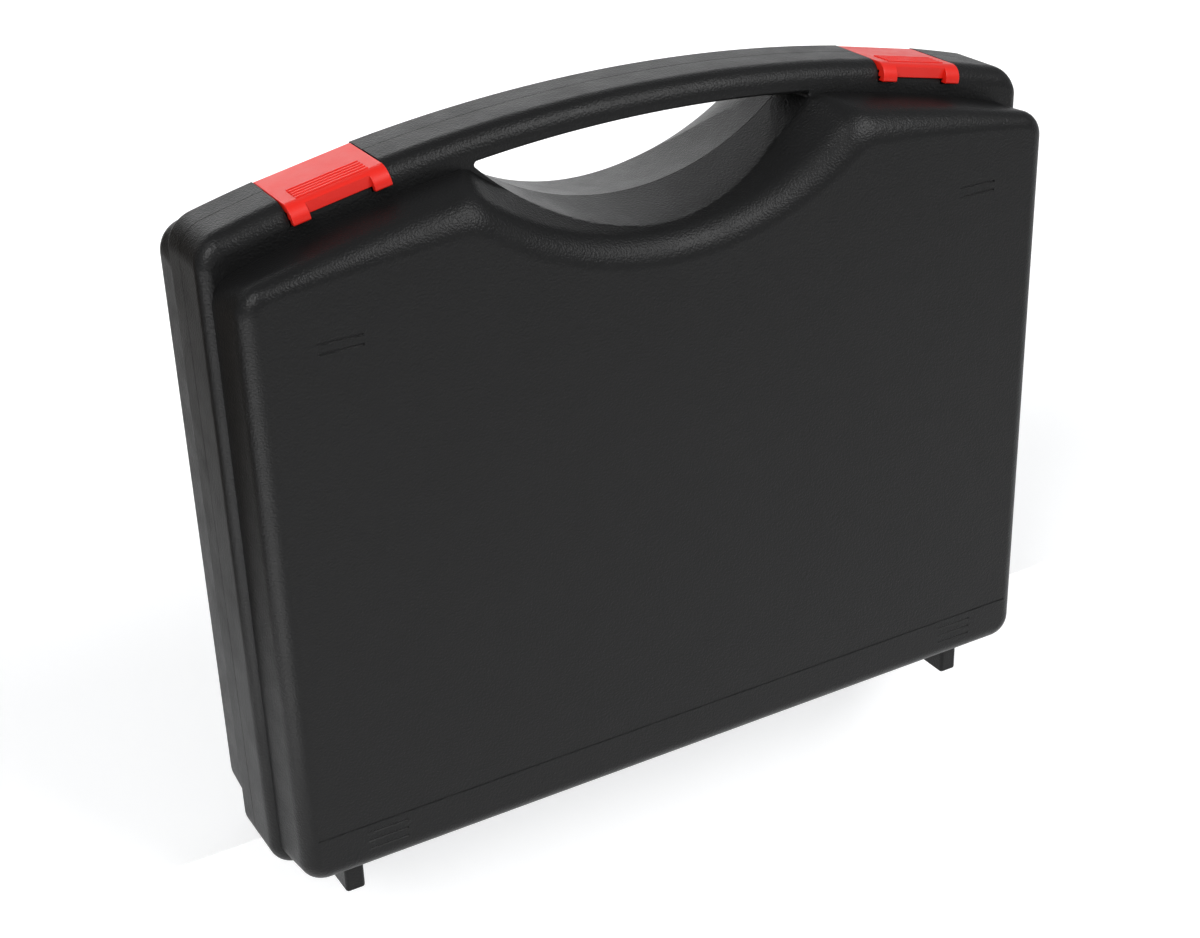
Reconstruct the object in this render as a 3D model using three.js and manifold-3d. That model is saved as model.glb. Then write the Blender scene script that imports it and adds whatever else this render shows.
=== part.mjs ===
// Carrying case of a hand-held dowel jointing machine. Two moulded shells meet at a flat
// joint line, turn on a hinge along the bottom edge and close under two snap latches.
// The rims arch up over a hand opening and make the handle.
//
// Millimetres. X runs along the width, Y from the front face to the rear face with the
// joint line at zero, and Z up from the floor that the feet stand on.

import * as THREE from 'three';
import { mergeVertices } from 'three/addons/utils/BufferGeometryUtils.js';
import Module from 'manifold-3d';

const wasm = await Module();
wasm.setup();

// Driving sizes of the shells
const rimWidth = 394;
const shellDepth = 48;
const frontRimDepth = 22;
const rearRimDepth = 14.2;
const wall = 2.4;
const rimBottomZ = 16;
const archTopZ = 332.7;
const archRadius = 720;
const rimTopCornerRadius = 14;
const rimBottomCornerRadius = 12;
const frontCrownEdge = 9;
const frontSideEdge = 5.5;
const rearRimEdge = 2.4;
const jointGap = 0.3;
const fitGap = 0.3;
const pinGap = 0.1;

// Pan of a shell: the tray that stands out from the rim to the flat outer face
const panStep = 3.6;
const panDraft = 1.8;
const panTopCornerRadius = 13;
const panBottomCornerRadius = 11;
const panSideEdge = 5.8;
const panCrownEdge = 8.6;
const shoulderRootDrop = 12.2;
const shoulderRootRadius = 632;
const shoulderFaceDrop = 22.3;
const shoulderFaceRadius = 1105;

// Scoop of the pan below the handle, and the soft cusp between it and the shoulder
const scoopRootDrop = 49.5;
const scoopRootRadius = 127;
const scoopFaceDrop = 58.5;
const scoopFaceRadius = 142;
const cuspRootRadius = 8;
const cuspFaceRadius = 26;

// Hand opening: a bowed floor under the arched grip, with draft from the joint line
const gripHeight = 11.5;
const gripDraft = 1;
const gripUnderRadius = 633;
const floorDrop = 50.4;
const frontFloorFall = 4.9;
const rearFloorFall = 6.35;
const floorJointRadius = 117;
const floorFaceRadius = 104.3;
const openingTipRadius = 1.6;

// Lines moulded in the faces
const markDepth = 0.6;
const bandLineZ = 44.1;
const bandLineInset = 6.6;
const bandLineHeight = 1;
const markPitch = 4.1;
const markHeight = 1.3;
const markLength = 19;
const markInset = 43.5;
const lowerMarkZ = 39.9;
const lowerMarkCount = 3;
const upperMarkDrop = 65.2;
const upperMarkCount = 2;

// Feet
const footInset = 32.1;
const footWidth = 9.2;
const footDepth = 15.3;
const footSetback = 15.7;
const footCornerRadius = 1.6;
const footEdge = 1.2;

// Hinge along the bottom edge
const hingeZ = 11;
const hingePlaceShare = 0.487;
const hingeLength = 64;
const knuckleCount = 5;
const knuckleRadius = 4;
const knuckleGap = 0.5;
const hingePinRadius = 1.5;

// Snap latches
const latchInset = 57.6;
const latchWidth = 42.6;
const latchSink = 0.4;
const latchPlate = 3.6;
const latchFrontY = -25.2;
const latchNoseRadius = 7.5;
const latchLipY = -22.6;
const latchLipReach = 6.5;
const latchLipThickness = 2;
const legWidth = 7.5;
const legThickness = 2.9;
const legReach = 8.2;
const toothDepth = 1.6;
const toothHeight = 1.8;
const barrelY = 10.6;
const barrelRadius = 3.4;
const latchPinRadius = 1;
const gripRibCount = 5;
const gripRibPitch = 2.4;
const gripRibWidth = 1.2;
const gripRibHeight = 0.45;
const gripRibLength = 31;
const firstGripRibY = -18.2;
const cheekWidth = 3;
const housingDepth = 11.4;
const legSlotGap = 0.5;
const legSlotRoom = 0.8;

// Locating lip round the rear shell's joint face
const lipHeight = 2.5;
const lipThickness = 1.4;
const lipRoot = 3;
const lipTopDrop = 40.7;

// Walls moulded inside the rear shell
const bayWall = 2;
const bayWallZ = 112;
const bayWallReach = 12;
const bayPostShare = 0.335;
const cradlePlaceShare = 0.376;
const cradleWall = 2.4;
const cradleGap = 16;
const cradleTopDrop = 80.7;
const cradleReach = 22;
const cradleNotchShare = 0.548;

// Overrun of cuts, and steps of the curves
const overrun = 1;
const cornerSteps = 4;
const edgeSteps = 4;
const shoulderSteps = 4;
const cuspSteps = 3;
const scoopSteps = 16;
const archSteps = 24;
const floorSteps = 18;
const tipSteps = 3;
const underSteps = 12;
const panSteps = 4;
const roundSides = 20;
const pinSides = 14;

// Sizes that follow from the ones above
const rimHalf = rimWidth / 2;
const flangeHalf = rimHalf - panStep;
const faceHalf = flangeHalf - panDraft;
const flangeBottomZ = rimBottomZ + panStep;
const faceBottomZ = flangeBottomZ + panDraft;
const shoulderRootZ = archTopZ - shoulderRootDrop;
const shoulderFaceZ = archTopZ - shoulderFaceDrop;
const scoopRootZ = archTopZ - scoopRootDrop;
const scoopFaceZ = archTopZ - scoopFaceDrop;
const floorJointZ = archTopZ - floorDrop;
const archCentreZ = archTopZ - archRadius;
const bandLineHalf = faceHalf - bandLineInset;
const markMiddleX = rimHalf - markInset;
const upperMarkZ = archTopZ - upperMarkDrop;
const footX = rimHalf - footInset;
const hingeX = rimHalf * hingePlaceShare;
const lipTopZ = archTopZ - lipTopDrop;
const bayPostX = rimHalf * bayPostShare;
const cradleX = rimHalf * cradlePlaceShare;
const cradleBottomZ = bayWallZ + cradleGap;
const cradleTopZ = archTopZ - cradleTopDrop;
const cradleNotchZ = (cradleBottomZ + cradleTopZ) / 2;
const cradleNotchRadius = ((cradleTopZ - cradleBottomZ) / 2) * cradleNotchShare;
const latchX = rimHalf - latchInset;
const latchTilt = Math.asin(latchX / archRadius);
const latchHalf = latchWidth / 2;
const latchTop = -latchSink;
const latchUnderside = latchTop - latchPlate;
const latchNoseY = latchFrontY + latchNoseRadius;
const barrelZ = latchTop - barrelRadius;
const troughRadius = barrelRadius + fitGap;
const pocketHalf = latchHalf + fitGap;
const pocketFloor = latchUnderside - fitGap;
const housingHalf = pocketHalf + cheekWidth;
const latchPinBore = latchPinRadius + pinGap;
const hingePinBore = hingePinRadius + pinGap;

const { lerp: mix, clamp } = THREE.MathUtils;

function arc(centreX, centreZ, radius, start, end, steps) {
  const points = [];
  for (let k = 0; k <= steps; k += 1) {
    const angle = mix(start, end, k / steps);
    points.push(new THREE.Vector2(centreX + radius * Math.cos(angle), centreZ + radius * Math.sin(angle)));
  }
  return points;
}

function mirrored(points) {
  return points.map((p) => new THREE.Vector2(-p.x, p.y)).reverse();
}

// Moves each point of an outline inwards by its own amount; a negative amount grows it
function inset(outline, amountAt) {
  const count = outline.length;
  return outline.map((point, k) => {
    const before = outline[(k + count - 1) % count];
    const after = outline[(k + 1) % count];
    const edgeIn = point.clone().sub(before).normalize();
    const edgeOut = after.clone().sub(point).normalize();
    const normal = new THREE.Vector2(-edgeIn.y - edgeOut.y, edgeIn.x + edgeOut.x);
    return point.clone().add(normal.multiplyScalar(amountAt(point) / (1 + edgeIn.dot(edgeOut))));
  });
}

// Right half of an outline's foot and side: bottom corner, then the top corner that runs
// into a crown of the given height and radius
function cornerPair(half, bottomZ, crownZ, crownRadius, bottomRadius, topRadius) {
  const cornerX = half - topRadius;
  const crownCentreZ = crownZ - crownRadius;
  const reach = crownRadius - topRadius;
  const cornerZ = crownCentreZ + Math.sqrt(reach * reach - cornerX * cornerX);
  const crownAngle = Math.atan2(cornerZ - crownCentreZ, cornerX);
  return {
    bottom: arc(half - bottomRadius, bottomZ + bottomRadius, bottomRadius, -Math.PI / 2, 0, cornerSteps),
    top: arc(cornerX, cornerZ, topRadius, 0, crownAngle, cornerSteps),
    crownAngle,
    crownCentreZ,
  };
}

// Outline of the rim: straight sides and foot under the long arch of the handle
function rimOutline() {
  const corners = cornerPair(
    rimHalf, rimBottomZ, archTopZ, archRadius, rimBottomCornerRadius, rimTopCornerRadius,
  );
  const angle = corners.crownAngle;
  const arch = arc(0, corners.crownCentreZ, archRadius, angle, Math.PI - angle, archSteps);
  const right = [...corners.bottom, ...corners.top];
  return [...right, ...arch.slice(1, -1), ...mirrored(right)];
}

// Outline of the pan at a share of its depth, zero at the face and one at the flange
function panOutline(share) {
  const half = mix(faceHalf, flangeHalf, share);
  const bottomZ = mix(faceBottomZ, flangeBottomZ, share);
  const crownZ = mix(shoulderFaceZ, shoulderRootZ, share);
  const crownRadius = 1 / mix(1 / shoulderFaceRadius, 1 / shoulderRootRadius, share);
  const corners = cornerPair(half, bottomZ, crownZ, crownRadius, panBottomCornerRadius, panTopCornerRadius);
  const scoopRadius = mix(scoopFaceRadius, scoopRootRadius, share);
  const scoopCentreZ = mix(scoopFaceZ, scoopRootZ, share) + scoopRadius;
  const cuspRadius = mix(cuspFaceRadius, cuspRootRadius, share);
  const between = scoopCentreZ - corners.crownCentreZ;
  const cusp = crossing(crownRadius - cuspRadius, scoopRadius + cuspRadius, between);
  const start = Math.atan2(cusp.y, cusp.x);
  const end = Math.atan2(between - cusp.y, -cusp.x);
  const shoulder = arc(0, corners.crownCentreZ, crownRadius, corners.crownAngle, start, shoulderSteps);
  const tip = arc(cusp.x, corners.crownCentreZ + cusp.y, cuspRadius, start, end, cuspSteps);
  const scoop = arc(0, scoopCentreZ, scoopRadius, end - Math.PI, -end, scoopSteps);
  const right = [...corners.bottom, ...corners.top, ...shoulder.slice(1, -1), ...tip];
  return [...right, ...scoop.slice(1, -1), ...mirrored(right)];
}

// Where two circles cross to the right of the line between their centres: the first centre
// is at zero and the other one straight above it
function crossing(firstRadius, otherRadius, between) {
  const rise = (firstRadius ** 2 - otherRadius ** 2 + between ** 2) / (2 * between);
  return new THREE.Vector2(Math.sqrt(firstRadius ** 2 - rise ** 2), rise);
}

// Outline of the hand opening at a depth from the joint line, on one side of it
function openingOutline(depth, side) {
  const share = depth / shellDepth;
  const fall = side > 0 ? rearFloorFall : frontFloorFall;
  const floorRadius = mix(floorJointRadius, floorFaceRadius, share);
  const floorCentreZ = floorJointZ - fall * share + floorRadius;
  const grip = gripHeight + gripDraft * (1 - depth / rimDepthOf(side));
  const underCentreZ = archTopZ - grip - gripUnderRadius;
  const tipCentre = crossing(
    gripUnderRadius - openingTipRadius, floorRadius - openingTipRadius, floorCentreZ - underCentreZ,
  );
  const tipX = tipCentre.x;
  const tipZ = underCentreZ + tipCentre.y;
  const floorAngle = Math.atan2(tipZ - floorCentreZ, tipX);
  const underAngle = Math.atan2(tipZ - underCentreZ, tipX);
  const floor = arc(0, floorCentreZ, floorRadius, -Math.PI - floorAngle, floorAngle, floorSteps);
  const tip = arc(tipX, tipZ, openingTipRadius, floorAngle, underAngle, tipSteps);
  const under = arc(0, underCentreZ, gripUnderRadius, underAngle, Math.PI - underAngle, underSteps);
  return [...floor, ...tip.slice(1), ...under.slice(1, -1), ...mirrored(tip.slice(1))];
}

function rimDepthOf(side) {
  return side > 0 ? rearRimDepth : frontRimDepth;
}

// Rounding of the rim's outer edge at a point of its outline: fuller on the handle
function rimEdgeAt(side) {
  if (side > 0) return () => rearRimEdge;
  const cornerZ = archTopZ - shoulderFaceDrop - rimTopCornerRadius;
  const sharePast = (point) => clamp((point.y - cornerZ) / rimTopCornerRadius, 0, 1);
  return (point) => mix(frontSideEdge, frontCrownEdge, sharePast(point));
}

// Rounding of the face's edge at a point of the pan's outline: fuller along the scoop
function panEdgeAt(point) {
  const upper = clamp((point.y - scoopFaceZ) / (scoopFaceRadius / 2) + 1, 0, 1);
  const inward = clamp((1 - Math.abs(point.x) / rimHalf) * 2, 0, 1);
  return mix(panSideEdge, panCrownEdge, upper * inward);
}

// Skins a row of outlines that stand at different depths and closes both ends
function loft(sections) {
  const rings = [...sections].sort((a, b) => a.y - b.y);
  const count = rings[0].outline.length;
  const positions = rings.flatMap((ring) => ring.outline.flatMap((p) => [p.x, ring.y, p.y]));
  const index = [];
  for (let row = 0; row < rings.length - 1; row += 1) {
    for (let k = 0; k < count; k += 1) {
      const a = row * count + k;
      const b = row * count + ((k + 1) % count);
      index.push(a, b + count, b, a, a + count, b + count);
    }
  }
  const lastRow = (rings.length - 1) * count;
  for (const [a, b, c] of THREE.ShapeUtils.triangulateShape(rings[0].outline, [])) {
    index.push(a, b, c);
  }
  for (const [a, b, c] of THREE.ShapeUtils.triangulateShape(rings[rings.length - 1].outline, [])) {
    index.push(lastRow + a, lastRow + c, lastRow + b);
  }
  const geometry = new THREE.BufferGeometry();
  geometry.setAttribute('position', new THREE.Float32BufferAttribute(positions, 3));
  geometry.setIndex(index);
  return geometry;
}

// Sections of a form that rounds over from its outer end by an edge radius for each point,
// all of them set in by the same amount
function roundedSections(outlineAt, edgeAt, start, end, steps, grow, side) {
  const sections = [];
  const widest = Math.max(...outlineAt(start).map(edgeAt));
  for (let k = 0; k <= edgeSteps; k += 1) {
    const sunk = widest * (1 - Math.cos((k / edgeSteps) * (Math.PI / 2)));
    const amountAt = (point) => {
      const radius = edgeAt(point);
      const left = Math.max(radius - sunk, 0);
      return grow + radius - Math.sqrt(radius * radius - left * left);
    };
    sections.push({ y: side * (start - sunk), outline: inset(outlineAt(start - sunk), amountAt) });
  }
  for (let k = 1; k <= steps; k += 1) {
    const depth = mix(start - widest, end, k / steps);
    sections.push({ y: side * depth, outline: inset(outlineAt(depth), () => grow) });
  }
  return sections;
}

// Shape in the Y and Z directions, pushed along X and centred on the given place
const alongX = new THREE.Matrix4().makeBasis(
  new THREE.Vector3(0, 1, 0),
  new THREE.Vector3(0, 0, 1),
  new THREE.Vector3(1, 0, 0),
);

function prismAlongX(shape, length, middleX = 0) {
  const options = { depth: length, bevelEnabled: false, curveSegments: roundSides };
  const geometry = new THREE.ExtrudeGeometry(shape, options);
  return geometry.translate(0, 0, middleX - length / 2).applyMatrix4(alongX);
}

function rodAlongX(radius, length, x, y, z, sides) {
  return new THREE.CylinderGeometry(radius, radius, length, sides).rotateZ(Math.PI / 2).translate(x, y, z);
}

function block(x0, x1, y0, y1, z0, z1) {
  const geometry = new THREE.BoxGeometry(x1 - x0, y1 - y0, z1 - z0);
  return geometry.translate((x0 + x1) / 2, (y0 + y1) / 2, (z0 + z1) / 2);
}

function solid(geometry) {
  const bare = geometry.clone();
  bare.deleteAttribute('normal');
  bare.deleteAttribute('uv');
  const merged = mergeVertices(bare);
  return new wasm.Manifold(
    new wasm.Mesh({
      numProp: 3,
      vertProperties: new Float32Array(merged.attributes.position.array),
      triVerts: new Uint32Array(merged.index.array),
    }),
  );
}

function surface(manifold) {
  const mesh = manifold.getMesh();
  const geometry = new THREE.BufferGeometry();
  geometry.setAttribute('position', new THREE.BufferAttribute(mesh.vertProperties, 3));
  geometry.setIndex(new THREE.BufferAttribute(mesh.triVerts, 1));
  geometry.computeVertexNormals();
  return geometry;
}

function joined(parts) {
  return parts.reduce((sum, part) => sum.add(part));
}

// Both ends of the case carry the same thing at plus and minus one
const ends = [-1, 1];

// Solids that both shells share, on the side of the joint line that is asked for
function shellForms(side) {
  const rimDepth = rimDepthOf(side);
  const panDepth = shellDepth - rimDepth;
  const rim = rimOutline();
  const rimAt = () => rim;
  const panAt = (depth) => panOutline(clamp((shellDepth - depth) / panDepth, 0, 1));
  const rimEdge = rimEdgeAt(side);
  const inner = (edgeAt) => (point) => Math.max(edgeAt(point) - wall, wall / 2);
  const rounded = (outlineAt, edgeAt, start, end, steps, grow) =>
    solid(loft(roundedSections(outlineAt, edgeAt, start, end, steps, grow, side)));
  const pan = rounded(panAt, panEdgeAt, shellDepth, rimDepth - wall, panSteps, 0);
  const rimBody = rounded(rimAt, rimEdge, rimDepth, jointGap / 2, 1, 0);
  const panEnd = rimDepth - wall - overrun;
  const panHollow = rounded(panAt, inner(panEdgeAt), shellDepth - wall, panEnd, panSteps, wall);
  const rimHollow = rounded(rimAt, inner(rimEdge), rimDepth - wall, -overrun, 1, wall);
  const cut = [shellDepth + overrun, -overrun];
  const through = (grow) => cut.map((depth) => (
    { y: side * depth, outline: inset(openingOutline(depth, side), () => -grow) }
  ));
  return {
    body: pan.add(rimBody),
    hollow: panHollow.add(rimHollow).subtract(solid(loft(through(wall)))),
    opening: solid(loft(through(0))),
  };
}

function foot(side, end) {
  const x0 = end * footX - footWidth / 2;
  const near = shellDepth - footSetback;
  const y0 = side > 0 ? near - footDepth : -near;
  const r = footCornerRadius;
  const outline = new THREE.Shape();
  outline.absarc(x0 + r, y0 + r, r, Math.PI, Math.PI * 1.5);
  outline.absarc(x0 + footWidth - r, y0 + r, r, Math.PI * 1.5, Math.PI * 2);
  outline.absarc(x0 + footWidth - r, y0 + footDepth - r, r, 0, Math.PI / 2);
  outline.absarc(x0 + r, y0 + footDepth - r, r, Math.PI / 2, Math.PI);
  const height = faceBottomZ + wall / 2;
  const geometry = new THREE.ExtrudeGeometry(outline, {
    depth: height - 2 * footEdge,
    bevelThickness: footEdge,
    bevelSize: footEdge,
    bevelOffset: -footEdge,
    bevelSegments: 2,
    curveSegments: 3,
  });
  return solid(geometry.translate(0, 0, footEdge));
}

// Hinge knuckles of one shell: the rear shell has the odd ones, the front shell the rest
const knuckleLength = (hingeLength - knuckleGap * (knuckleCount - 1)) / knuckleCount;

function knuckles(side, end) {
  const web = jointGap / 2;
  const rootZ = rimBottomZ + wall / 2;
  const profile = new THREE.Shape();
  profile.moveTo(web, rootZ);
  profile.lineTo(knuckleRadius, rootZ);
  profile.lineTo(knuckleRadius, hingeZ);
  profile.absarc(0, hingeZ, knuckleRadius, 0, Math.asin(web / knuckleRadius) - Math.PI * 1.5, true);
  const first = side > 0 ? 0 : 1;
  const made = [];
  for (let k = first; k < knuckleCount; k += 2) {
    const x = end * hingeX - hingeLength / 2 + knuckleLength / 2 + k * (knuckleLength + knuckleGap);
    const geometry = prismAlongX(profile, knuckleLength);
    if (side < 0) geometry.rotateZ(Math.PI);
    made.push(solid(geometry.translate(x, 0, 0)));
  }
  return joined(made);
}

function hingeBore(end) {
  return solid(rodAlongX(hingePinBore, hingeLength + 2 * overrun, end * hingeX, 0, hingeZ, pinSides));
}

// Shallow lines moulded in the outer face: one long line low down and short ones at the ends
function faceMarks(side) {
  const y0 = side > 0 ? shellDepth - markDepth : -shellDepth - overrun;
  const y1 = y0 + markDepth + overrun;
  const line = (x0, x1, middleZ, height) => block(x0, x1, y0, y1, middleZ - height / 2, middleZ + height / 2);
  const marks = [solid(line(-bandLineHalf, bandLineHalf, bandLineZ, bandLineHeight))];
  const rows = [[lowerMarkZ, lowerMarkCount], [upperMarkZ, upperMarkCount]];
  for (const end of ends) {
    const x0 = end * markMiddleX - markLength / 2;
    for (const [topZ, count] of rows) {
      for (let k = 0; k < count; k += 1) {
        marks.push(solid(line(x0, x0 + markLength, topZ - k * markPitch, markHeight)));
      }
    }
  }
  return joined(marks);
}

// Place of a latch on the arch, turned to lie along it
function latchSeat(end) {
  const seat = new THREE.Group();
  seat.position.set(end * latchX, 0, archCentreZ + archRadius * Math.cos(latchTilt));
  seat.rotation.y = end * latchTilt;
  seat.updateMatrix();
  return seat;
}

// Solid housing under a latch, inside the rim of one shell
function latchHousing(side, end) {
  const y0 = side > 0 ? jointGap / 2 : -frontRimDepth;
  const y1 = side > 0 ? rearRimDepth : -jointGap / 2;
  const geometry = block(-housingHalf, housingHalf, y0, y1, -housingDepth, overrun);
  return solid(geometry.applyMatrix4(latchSeat(end).matrix));
}

// Rear pocket: floor under the latch plate and a trough for its barrel, open to the rear
function rearPocket(end) {
  const floorAngle = Math.asin((barrelZ - pocketFloor) / troughRadius);
  const profile = new THREE.Shape();
  profile.moveTo(-overrun, overrun);
  profile.lineTo(-overrun, pocketFloor);
  profile.absarc(barrelY, barrelZ, troughRadius, Math.PI + floorAngle, Math.PI * 1.5);
  profile.lineTo(rearRimDepth + overrun, barrelZ - troughRadius);
  profile.lineTo(rearRimDepth + overrun, overrun);
  const matrix = latchSeat(end).matrix;
  const pocket = solid(prismAlongX(profile, 2 * pocketHalf).applyMatrix4(matrix));
  const bore = rodAlongX(latchPinBore, 2 * (housingHalf + overrun), 0, barrelY, barrelZ, pinSides);
  return pocket.add(solid(bore.applyMatrix4(matrix)));
}

// Front pocket: room for the plate and its lip, and an open slot for each leg of the latch
function frontPocket(end) {
  const matrix = latchSeat(end).matrix;
  const y0 = -frontRimDepth - overrun;
  const slotFloor = -legReach - legSlotRoom;
  const lipFloor = -latchLipReach - fitGap;
  const inner = latchHalf - legWidth - legSlotGap;
  const outer = latchHalf + legSlotGap;
  const cuts = [
    block(-outer, outer, y0, overrun, lipFloor, overrun),
    block(-outer, -inner, y0, overrun, slotFloor, overrun),
    block(inner, outer, y0, overrun, slotFloor, overrun),
  ];
  return joined(cuts.map((geometry) => solid(geometry.applyMatrix4(matrix))));
}

// Lip inside the joint face that locates the front shell, along the foot and the sides
function locatingLip() {
  const rim = rimOutline();
  const outerInset = wall + fitGap;
  const ring = (amount, y0, y1) => {
    const outline = inset(rim, () => amount);
    return solid(loft([{ y: y0, outline }, { y: y1, outline }]));
  };
  const outside = ring(outerInset, -lipHeight, lipRoot).add(ring(wall / 2, jointGap / 2, lipRoot));
  const inside = ring(outerInset + lipThickness, -lipHeight - overrun, lipRoot + overrun);
  const above = block(-rimHalf, rimHalf, -shellDepth, shellDepth, lipTopZ, archTopZ);
  return outside.subtract(inside).subtract(solid(above));
}

// Cradles that hold the machine and a walled bay for cutters, dowels and spanners
function insideWalls(body) {
  const backY = shellDepth - wall / 2;
  const half = bayWall / 2;
  const bay = block(-rimHalf, rimHalf, bayWallReach, backY, bayWallZ - half, bayWallZ + half);
  const post = block(bayPostX - half, bayPostX + half, bayWallReach, backY, rimBottomZ, bayWallZ);
  const profile = new THREE.Shape();
  profile.moveTo(backY, cradleBottomZ);
  profile.lineTo(backY, cradleTopZ);
  profile.lineTo(cradleReach, cradleTopZ);
  profile.lineTo(cradleReach, cradleNotchZ + cradleNotchRadius);
  const notchDepth = backY - cradleReach - 2 * wall;
  const quarter = Math.PI / 2;
  profile.absellipse(cradleReach, cradleNotchZ, notchDepth, cradleNotchRadius, quarter, -quarter, true, 0);
  profile.lineTo(cradleReach, cradleBottomZ);
  const cradles = ends.map((end) => solid(prismAlongX(profile, cradleWall, end * cradleX)));
  return joined([solid(bay), solid(post), ...cradles]).intersect(body);
}

function shell(side) {
  const forms = shellForms(side);
  let made = forms.body;
  for (const end of ends) {
    made = made.add(foot(side, end)).add(knuckles(side, end));
  }
  made = made.subtract(forms.hollow);
  for (const end of ends) {
    made = made.add(latchHousing(side, end).intersect(forms.body));
  }
  if (side > 0) {
    made = made.add(insideWalls(forms.body)).add(locatingLip());
  }
  made = made.subtract(forms.opening).subtract(faceMarks(side));
  for (const end of ends) {
    made = made.subtract(hingeBore(end)).subtract(side > 0 ? rearPocket(end) : frontPocket(end));
  }
  return surface(made);
}

// Latch in its own frame: origin on the arch at the joint line, X along the arch
function latch() {
  const noseZ = latchTop - latchNoseRadius;
  const lipAngle = Math.acos((latchLipY - latchNoseY) / latchNoseRadius);
  const plate = new THREE.Shape();
  plate.moveTo(barrelY, latchUnderside);
  plate.lineTo(barrelY, latchTop);
  plate.absarc(latchNoseY, noseZ, latchNoseRadius, Math.PI / 2, lipAngle);
  plate.lineTo(latchLipY, -latchLipReach);
  plate.lineTo(latchLipY + latchLipThickness, -latchLipReach);
  plate.lineTo(latchLipY + latchLipThickness, latchUnderside);
  const innerY = latchFrontY + legThickness;
  const leg = new THREE.Shape();
  leg.moveTo(latchNoseY, latchUnderside);
  leg.lineTo(latchNoseY, latchTop);
  leg.absarc(latchNoseY, noseZ, latchNoseRadius, Math.PI / 2, Math.PI);
  leg.lineTo(latchFrontY, -legReach);
  leg.lineTo(innerY + toothDepth, -legReach);
  leg.lineTo(innerY, toothHeight - legReach);
  leg.lineTo(innerY, latchUnderside);
  let made = solid(prismAlongX(plate, latchWidth));
  made = made.add(solid(rodAlongX(barrelRadius, latchWidth, 0, barrelY, barrelZ, roundSides)));
  for (const end of ends) {
    made = made.add(solid(prismAlongX(leg, legWidth, end * (latchHalf - legWidth / 2))));
  }
  const ribHalf = gripRibLength / 2;
  for (let k = 0; k < gripRibCount; k += 1) {
    const y = firstGripRibY + k * gripRibPitch;
    const top = latchTop + gripRibHeight;
    const rib = block(-ribHalf, ribHalf, y - gripRibWidth / 2, y + gripRibWidth / 2, latchUnderside, top);
    made = made.add(solid(rib));
  }
  const bore = rodAlongX(latchPinBore, latchWidth + 2 * overrun, 0, barrelY, barrelZ, pinSides);
  return surface(made.subtract(solid(bore)));
}

// Finishes
const blackPlastic = { color: 0x1d1d1e, roughness: 0.45, metalness: 0 };
const redPlastic = { color: 0xd9241e, roughness: 0.4, metalness: 0 };
const brightSteel = { color: 0xa8abae, roughness: 0.3, metalness: 1 };

function piece(name, geometry, finish) {
  const mesh = new THREE.Mesh(geometry, new THREE.MeshStandardMaterial(finish));
  mesh.name = name;
  return mesh;
}

const group = new THREE.Group();
group.add(piece('rear_shell', shell(1), blackPlastic));
group.add(piece('front_shell', shell(-1), blackPlastic));

for (const end of ends) {
  const hand = end < 0 ? 'left' : 'right';
  const seat = latchSeat(end);
  seat.add(piece(`${hand}_latch`, latch(), redPlastic));
  const pin = new THREE.CylinderGeometry(latchPinRadius, latchPinRadius, 2 * housingHalf, pinSides);
  const latchPin = piece(`${hand}_latch_pin`, pin, brightSteel);
  latchPin.rotation.z = Math.PI / 2;
  latchPin.position.set(0, barrelY, barrelZ);
  seat.add(latchPin);
  group.add(seat);
  const rod = new THREE.CylinderGeometry(hingePinRadius, hingePinRadius, hingeLength, pinSides);
  const hingePin = piece(`${hand}_hinge_pin`, rod, brightSteel);
  hingePin.rotation.z = Math.PI / 2;
  hingePin.position.set(end * hingeX, 0, hingeZ);
  group.add(hingePin);
}

export default group;
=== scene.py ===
"""Looks of a carry case for a dowel joiner: two black moulded shells that meet at a flat
joint line, an arched grip over a hand opening, and two red snap latches.

X runs along the width, Y from the front face to the rear face with the joint line at zero,
and Z up from the floor that the feet stand on. All lengths are in metres.
"""

import math

import bmesh
import bpy
from mathutils import Matrix, Vector


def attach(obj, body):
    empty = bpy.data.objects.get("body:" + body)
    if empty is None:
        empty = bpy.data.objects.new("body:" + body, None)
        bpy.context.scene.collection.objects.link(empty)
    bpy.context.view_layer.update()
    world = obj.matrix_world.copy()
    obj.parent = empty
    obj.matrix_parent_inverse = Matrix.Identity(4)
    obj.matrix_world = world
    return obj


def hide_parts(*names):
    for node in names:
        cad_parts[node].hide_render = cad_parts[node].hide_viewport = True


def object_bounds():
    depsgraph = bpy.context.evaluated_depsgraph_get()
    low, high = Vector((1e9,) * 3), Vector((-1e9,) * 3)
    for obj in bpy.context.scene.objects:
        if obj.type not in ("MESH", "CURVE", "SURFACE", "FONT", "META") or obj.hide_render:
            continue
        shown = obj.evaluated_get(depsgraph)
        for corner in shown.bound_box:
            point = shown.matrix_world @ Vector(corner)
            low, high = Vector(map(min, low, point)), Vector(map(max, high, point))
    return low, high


bl_info = {
    "name": "Dowel joiner carry case",
    "version": (1, 0, 0),
    "blender": (4, 5, 0),
    "location": "View3D > Sidebar > Case",
    "description": "Builds the shells, latches and pins of a moulded carry case",
    "category": "Object",
}

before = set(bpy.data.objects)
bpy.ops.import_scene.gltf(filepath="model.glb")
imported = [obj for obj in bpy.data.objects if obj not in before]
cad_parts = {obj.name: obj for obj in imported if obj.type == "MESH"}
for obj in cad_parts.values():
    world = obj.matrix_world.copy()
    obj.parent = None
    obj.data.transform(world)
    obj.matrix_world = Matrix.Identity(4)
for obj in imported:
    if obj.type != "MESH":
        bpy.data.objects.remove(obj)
CASE_LOW, CASE_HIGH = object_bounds()
FRONT, REAR = -1, 1
LEFT, RIGHT = -1, 1
ENDS = (LEFT, RIGHT)
HANDS = {LEFT: "left", RIGHT: "right"}

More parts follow.
